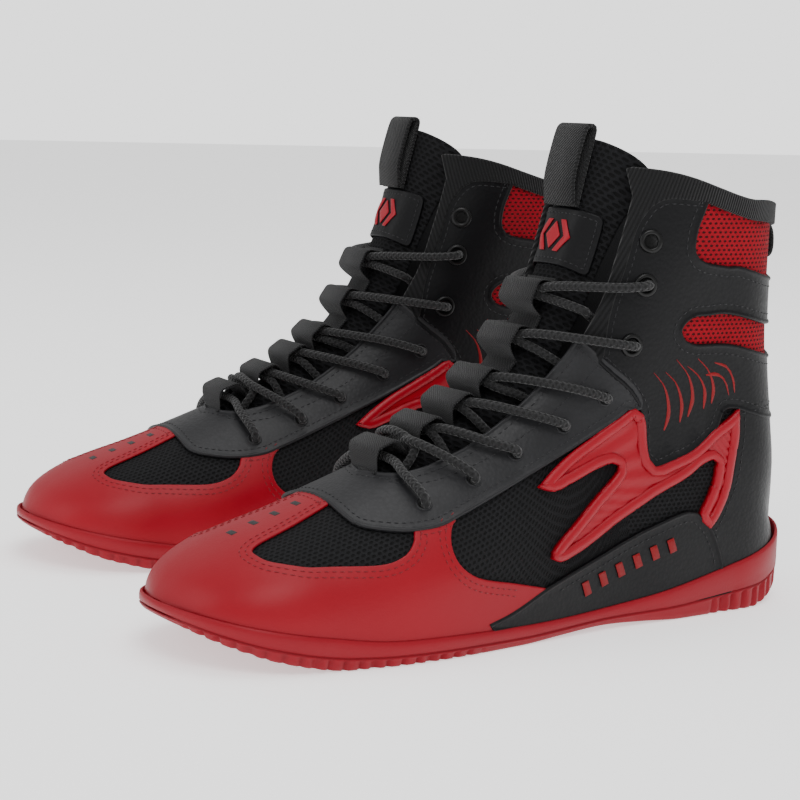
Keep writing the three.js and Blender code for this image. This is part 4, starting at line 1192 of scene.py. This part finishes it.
# Profiles of the round parts: radius and height over the form.
EYELET = [(2.75, -1.6), (3.25, -1.6), (3.25, 1.4), (4.3, 1.45), (4.75, 1.7), (4.7, 2.1), (4.2, 2.5),
          (3.4, 2.6), (2.9, 2.3), (2.72, 1.8)]
PUNCHED_RIM = [(2.35, 1.3), (3.35, 1.4), (3.2, 1.78), (2.75, 1.86), (2.4, 1.7)]
HOLE_DISC = [(2.7, 1.2), (2.7, 1.64)]


def make_eyelets():
    for sign, word in SIDES:
        metal = [hole for hole in HOLES if hole[2]]
        for number, (r, y, _) in enumerate(metal, 1):
            bm = swept(circles(r, sign * y, EYELET), ring=True)
            name = f"eyelet_{word}_{number}"
            piece(f"ring_{name}", bm, eyelet_enamel, "boot", [name], None)
    rims = [swept(circles(r, s * y, PUNCHED_RIM), ring=True)
            for r, y, metal in HOLES if not metal for s in (1, -1)]
    piece("punched_rims", joined(rims), charcoal_leather, "boot")
    # a near-black disc in every hole: painted shade of the hole's depth
    depths = [swept(circles(r, s * y, HOLE_DISC, 24)) for r, y, _ in HOLES for s in (1, -1)]
    piece("hole_shadow_discs", joined(depths), deep_shadow, "boot")


# ---------------------------------------------------------------- lace
def lace_route():
    """The route of the part's own lace: up one side, across the foremost keeper and up the other."""
    laced = HOLES[:7]
    on_tongue = 3.4
    on_tape, beside = on_tongue + 1.3, 10.5

    def over(metal):
        return 5.0 if metal else 4.2

    def under(metal):
        return -5.2 if metal else -3.4

    def between(a, b, share):
        return a + (b - a) * share

    def leg(row, side, level):
        (r, y, metal), (next_r, next_y, next_metal) = laced[row], laced[row + 1]
        edge, next_edge = throat_half(r), throat_half(next_r)
        free = row == 0
        keeper = sum(KEEPERS[:2]) / 2 if free else KEEPERS[row]
        low = on_tape if free else on_tongue
        mouth = [(between(r, keeper, 0.1), side * (edge - 2), -2.4)]
        if metal:
            mouth = [(r, side * (edge - 2.3), -4.9), (r, side * (edge - 3.2), 0.5)]
        return [
            (r, side * y, under(metal)), *mouth,
            (between(r, keeper, 1 if free else 0.85), side * beside, low),
            (keeper, 0, low + level * 4.3),
            (between(keeper, next_r, 0 if free else 0.17), -side * beside, low + 3),
            (between(keeper, next_r, 0.75), -side * (next_edge + next_y) / 2, over(next_metal) + 1.2),
            (next_r, -side * next_y, over(next_metal) + (0.2 if next_metal else 0))]

    def climb(side):
        points = []
        for row in range(len(laced) - 1):
            points += leg(row, side, 1 if side > 0 else 0)
            side = -side
        r, y, metal = laced[-1]
        return [*points, (r, side * y, under(metal)), (r - 0.5, side * (y - 2), -10)]

    r, y, _ = laced[0]
    edge = throat_half(r)
    half_bar = [(KEEPERS[0], beside, on_tongue + 0.6), (r, edge + 2, over(0) + 0.6), (r, y, over(0))]
    bar = [(p, -q, n) for p, q, n in reversed(half_bar)] + half_bar
    return np.array([place(*p) for p in climb(-1)[::-1] + bar + climb(1)])


def even_curve(points, per_span=9):
    """A centripetal Catmull-Rom curve through the points."""
    ends = np.concatenate([[2 * points[0] - points[1]], points, [2 * points[-1] - points[-2]]])
    result = []
    for i in range(1, len(ends) - 2):
        p = ends[i - 1:i + 3]
        t = np.concatenate([[0], np.cumsum(np.sqrt(np.linalg.norm(np.diff(p, axis=0), axis=1)) + 1e-6)])
        at = np.linspace(t[1], t[2], per_span, endpoint=False)[:, None]

        def blend(start, end, one, other):
            return (end - at) / (end - start) * one + (at - start) / (end - start) * other

        a = [blend(t[k], t[k + 1], p[k], p[k + 1]) for k in range(3)]
        b = [blend(t[k], t[k + 2], a[k], a[k + 1]) for k in range(2)]
        result.append(blend(t[1], t[2], b[0], b[1]))
    return np.concatenate([*result, points[-1:]])


def tube_rows(path, radius, sides=LACE_SIDES):
    """Circles along a path, their frame carried along it without twist."""
    tangent = directions(path)
    up = Vector(tangent[0]).orthogonal().normalized()
    rows = []
    for p, t in zip(path, tangent):
        t = Vector(t)
        up = (up - t * up.dot(t)).normalized()
        across = t.cross(up)
        rows.append([
            p + radius * (math.cos(q) * np.array(up) + math.sin(q) * np.array(across))
            for q in np.linspace(0, 2 * math.pi, sides, endpoint=False)])
    return rows


def make_lace():
    path = even_curve(lace_route())
    rows = tube_rows(path, LACE_RADIUS)
    flat = np.array([(k / LACE_SIDES, at) for at in run_along(path) for k in range(LACE_SIDES)])
    piece("round_lace", swept(rows), lace_braid, "boot", ["lace"], flat, wrap=1.0)


# ---------------------------------------------------------------- webbing loops
def ribbon(path, half, thickness):
    """A flat band along a path of (x, z) in the boot's middle plane, with softened edges."""
    path = run_through(path, 1.2)
    tangent = directions(path)
    side = np.stack([-tangent[:, 1], tangent[:, 0]], 1)
    section = [(-half + 0.3, -0.5), (-half, -0.15), (-half, 0.15), (-half + 0.3, 0.5)]
    section += [(-x, -h) for x, h in section]
    rows, flat = [], []
    for p, n, at in zip(path, side, run_along(path)):
        rows.append([(p[0] + n[0] * h * thickness, y, p[1] + n[1] * h * thickness) for y, h in section])
        flat += [(y, at) for y, h in section]
    return swept(rows), np.array(flat)


def make_tongue_tab():
    """The webbing loop that stands up from the top of the tongue: h high and w deep."""
    seat = 12.95
    root = place(seat, 0, 2.4)
    up = place(13.25, 0, 1.0) - place(seat, 0, 1.0)
    up /= np.linalg.norm(up)
    out = place(seat, 0, 1) - place(seat, 0, 0)
    h, w = 33.0, 6.0
    shape = [(0, 0), (h * 0.3, 0.6), (h * 0.65, 0.9), (h - 3, 1.2), (h - 0.6, w * 0.28), (h, w / 2),
             (h - 0.6, w * 0.78), (h - 3, w - 0.2), (h * 0.65, w), (h * 0.32, w - 0.6), (h * 0.14, 3.6),
             (0, 1.9)]
    path = [(root + up * a + out * b)[[0, 2]] for a, b in shape]
    bm, flat = ribbon(path, 10, 1.6)
    piece("tongue_pull_tab", bm, webbing, "tongue_pull", ["tongue_loop"], flat)


def make_heel_tab():
    """The webbing loop at the back of the collar: d down from z and w deep."""
    back, z, d, w = back_x(166) - 1.0 - 3.4, 166.0, 19.0, 8.5
    shape = [(back, z), (back, z - d * 0.4), (back + 0.2, z - d * 0.75), (back - 1.5, z - d * 0.95),
             (back - w / 2, z - d), (back - w + 1, z - d * 0.95), (back - w, z - d * 0.72),
             (back - w + 1, z - d * 0.4), (back - 3.2, z - d * 0.12), (back - 1.9, z + 1)]
    bm, flat = ribbon(shape, 6.5, 1.6)
    piece("heel_pull_tab", bm, webbing, "heel_pull", ["heel_loop"], flat)


make_outsole()
for sign, word in SIDES:
    make_flash(sign, word)
make_tongue()
make_label()
make_tape()
make_eyelets()
make_lace()
make_tongue_tab()
make_heel_tab()


# ---------------------------------------------------------------- seams
def above(z_low, x_low=-99):
    """Picks the edge points that lie above a height and in front of a place along the boot."""
    return lambda p: (p[:, 2] > z_low) & (p[:, 0] > x_low)


def sew_seams():
    off_the_sole = above(24)
    for inset in (1.8, 4.2):
        sew(f"toe_cap_stitches_{int(inset)}", inset_path(cap_edge, inset, off_the_sole), red_thread, "boot")
    sew("facing_edge_stitches", inset_path(facing_edge, 2.0, above(40)), black_thread, "boot")
    rows = [4.9, 5.1, 5.5, 6, 6.8, 7.7, 8.6, 9.5, 10.2]
    inner = [cover_path(throat_edge(rows, s, 5.2), 1.6) for s in (1, -1)]
    sew("facing_inner_stitches", inner, black_thread, "boot")
    for _, word in SIDES:
        ankle = inset_path(ankle_edges[word], 2.2, above(62, 21))
        sew(f"ankle_stitches_{word}", ankle, black_thread, "boot")
        saddle = inset_path(saddle_edges[word], 2.4, above(21))
        sew(f"saddle_stitches_{word}", saddle, black_thread, "boot")
    sew("counter_stitches", inset_path(counter_edge, 2.4, above(30)), black_thread, "boot")


# ---------------------------------------------------------------- small marks on the leather
def slot_at(x, across, along):
    """A short slot across the toe strap at x along the front curve; across and along are half widths."""
    a = float(np.interp(-x, -RINGS[:, 0], np.arange(LAST + 1))) * RING_RUN
    return outline(*corners([
        (a - along, -across), (a + along, -across), (a + along, across), (a - along, across)]))


def make_toe_slots():
    # each slot is a thin near-black patch laid on the strap: painted shade of the opening
    slots = [panel(slot_at(x, 2.6, 1.0), ridge, top=1.5, bottom=1.3, rim=[(0.1, -0.05)], cell=(2, 2))
             for x in (259, 250, 241, 232)]
    piece("toe_slots", joined(slots), deep_shadow, "boot")


SWIRLS = [
    [(46, 93), (47.5, 99), (51.5, 104), (58, 106)], [(49, 92), (51.5, 98), (56, 101), (62, 101)],
    [(58, 89), (57.5, 96), (61, 103), (67, 108)], [(62, 87), (62, 95), (66, 101), (72, 105)],
    [(70, 84), (68, 92), (71, 101), (78, 108)], [(74, 82), (73.5, 90), (77, 98), (83, 103)],
    [(82, 79), (80, 88), (83, 97), (89, 103)]]


def make_swirls():
    """A plain printed motif of curved strokes, each thin at its ends."""
    for sign, word in SIDES:
        strokes = []
        for shape in SWIRLS:
            middle = run_through(at_side(shape, sign), 1.2)
            along = np.gradient(middle, axis=0)
            across = np.stack([-along[:, 1], along[:, 0]], 1) / np.linalg.norm(along, axis=1, keepdims=True)
            width = 0.1 + 0.3 * np.sin(np.linspace(0, np.pi, len(middle)))[:, None]
            points = np.concatenate([middle + across * width, (middle - across * width)[::-1]])
            strokes.append(panel(points, top=1.62, bottom=1.42, rim=[(0.03, -0.05)], cell=(2.5, 2.5)))
        piece(f"ankle_motif_{word}", joined(strokes), red_print, "boot")


def make_saddle_marks():
    """A row of plain slanted bars along each saddle."""
    for sign, word in SIDES:
        bars = []
        for x, z in ((122, 18.6), (113, 21.4), (104, 24.2), (95, 26.9), (86, 29.4), (77, 31.5)):
            shape = [(x - 3.0, z - 2.2), (x + 0.4, z - 3.2), (x + 2.6, z + 2.2), (x - 0.8, z + 3.2)]
            bar = outline(*corners(at_side(shape, sign)), step=1.2)
            bars.append(panel(bar, top=2.0, bottom=1.4, rim=[(0.12, -0.15)], cell=(2, 2)))
        piece(f"saddle_marks_{word}", joined(bars), red_print, "boot")


def cover_footbeds():
    """The insole and its board keep the part's shape and get the lining's cloth."""
    for side in PLACES:
        for node in ("insole", "insole_board"):
            footbed = bpy.data.objects[f"{side}_{node}"]
            for i in range(len(footbed.material_slots)):
                footbed.material_slots[i].material = lining_cloth
            if not footbed.material_slots:
                footbed.data.materials.append(lining_cloth)


sew_seams()
make_toe_slots()
make_swirls()
make_saddle_marks()
cover_footbeds()


# ---------------------------------------------------------------- floor, end
FLOOR_GLOW = 0.8
floor_mesh = bpy.data.meshes.new("floor")
floor_bm = bmesh.new()
bmesh.ops.create_grid(floor_bm, x_segments=1, y_segments=1, size=9)
floor_bm.to_mesh(floor_mesh)
floor_bm.free()
floor = bpy.data.objects.new("floor", floor_mesh)
floor_finish = Finish("white floor", (0.88, 0.88, 0.88), 0.8, Specular_IOR_Level=0.1)
floor_finish.feed(floor_finish.shader.inputs["Emission Color"], (1, 1, 1, 1))
floor_finish.feed(floor_finish.shader.inputs["Emission Strength"], FLOOR_GLOW)
floor_mesh.materials.append(floor_finish.material)
scene.collection.objects.link(floor)
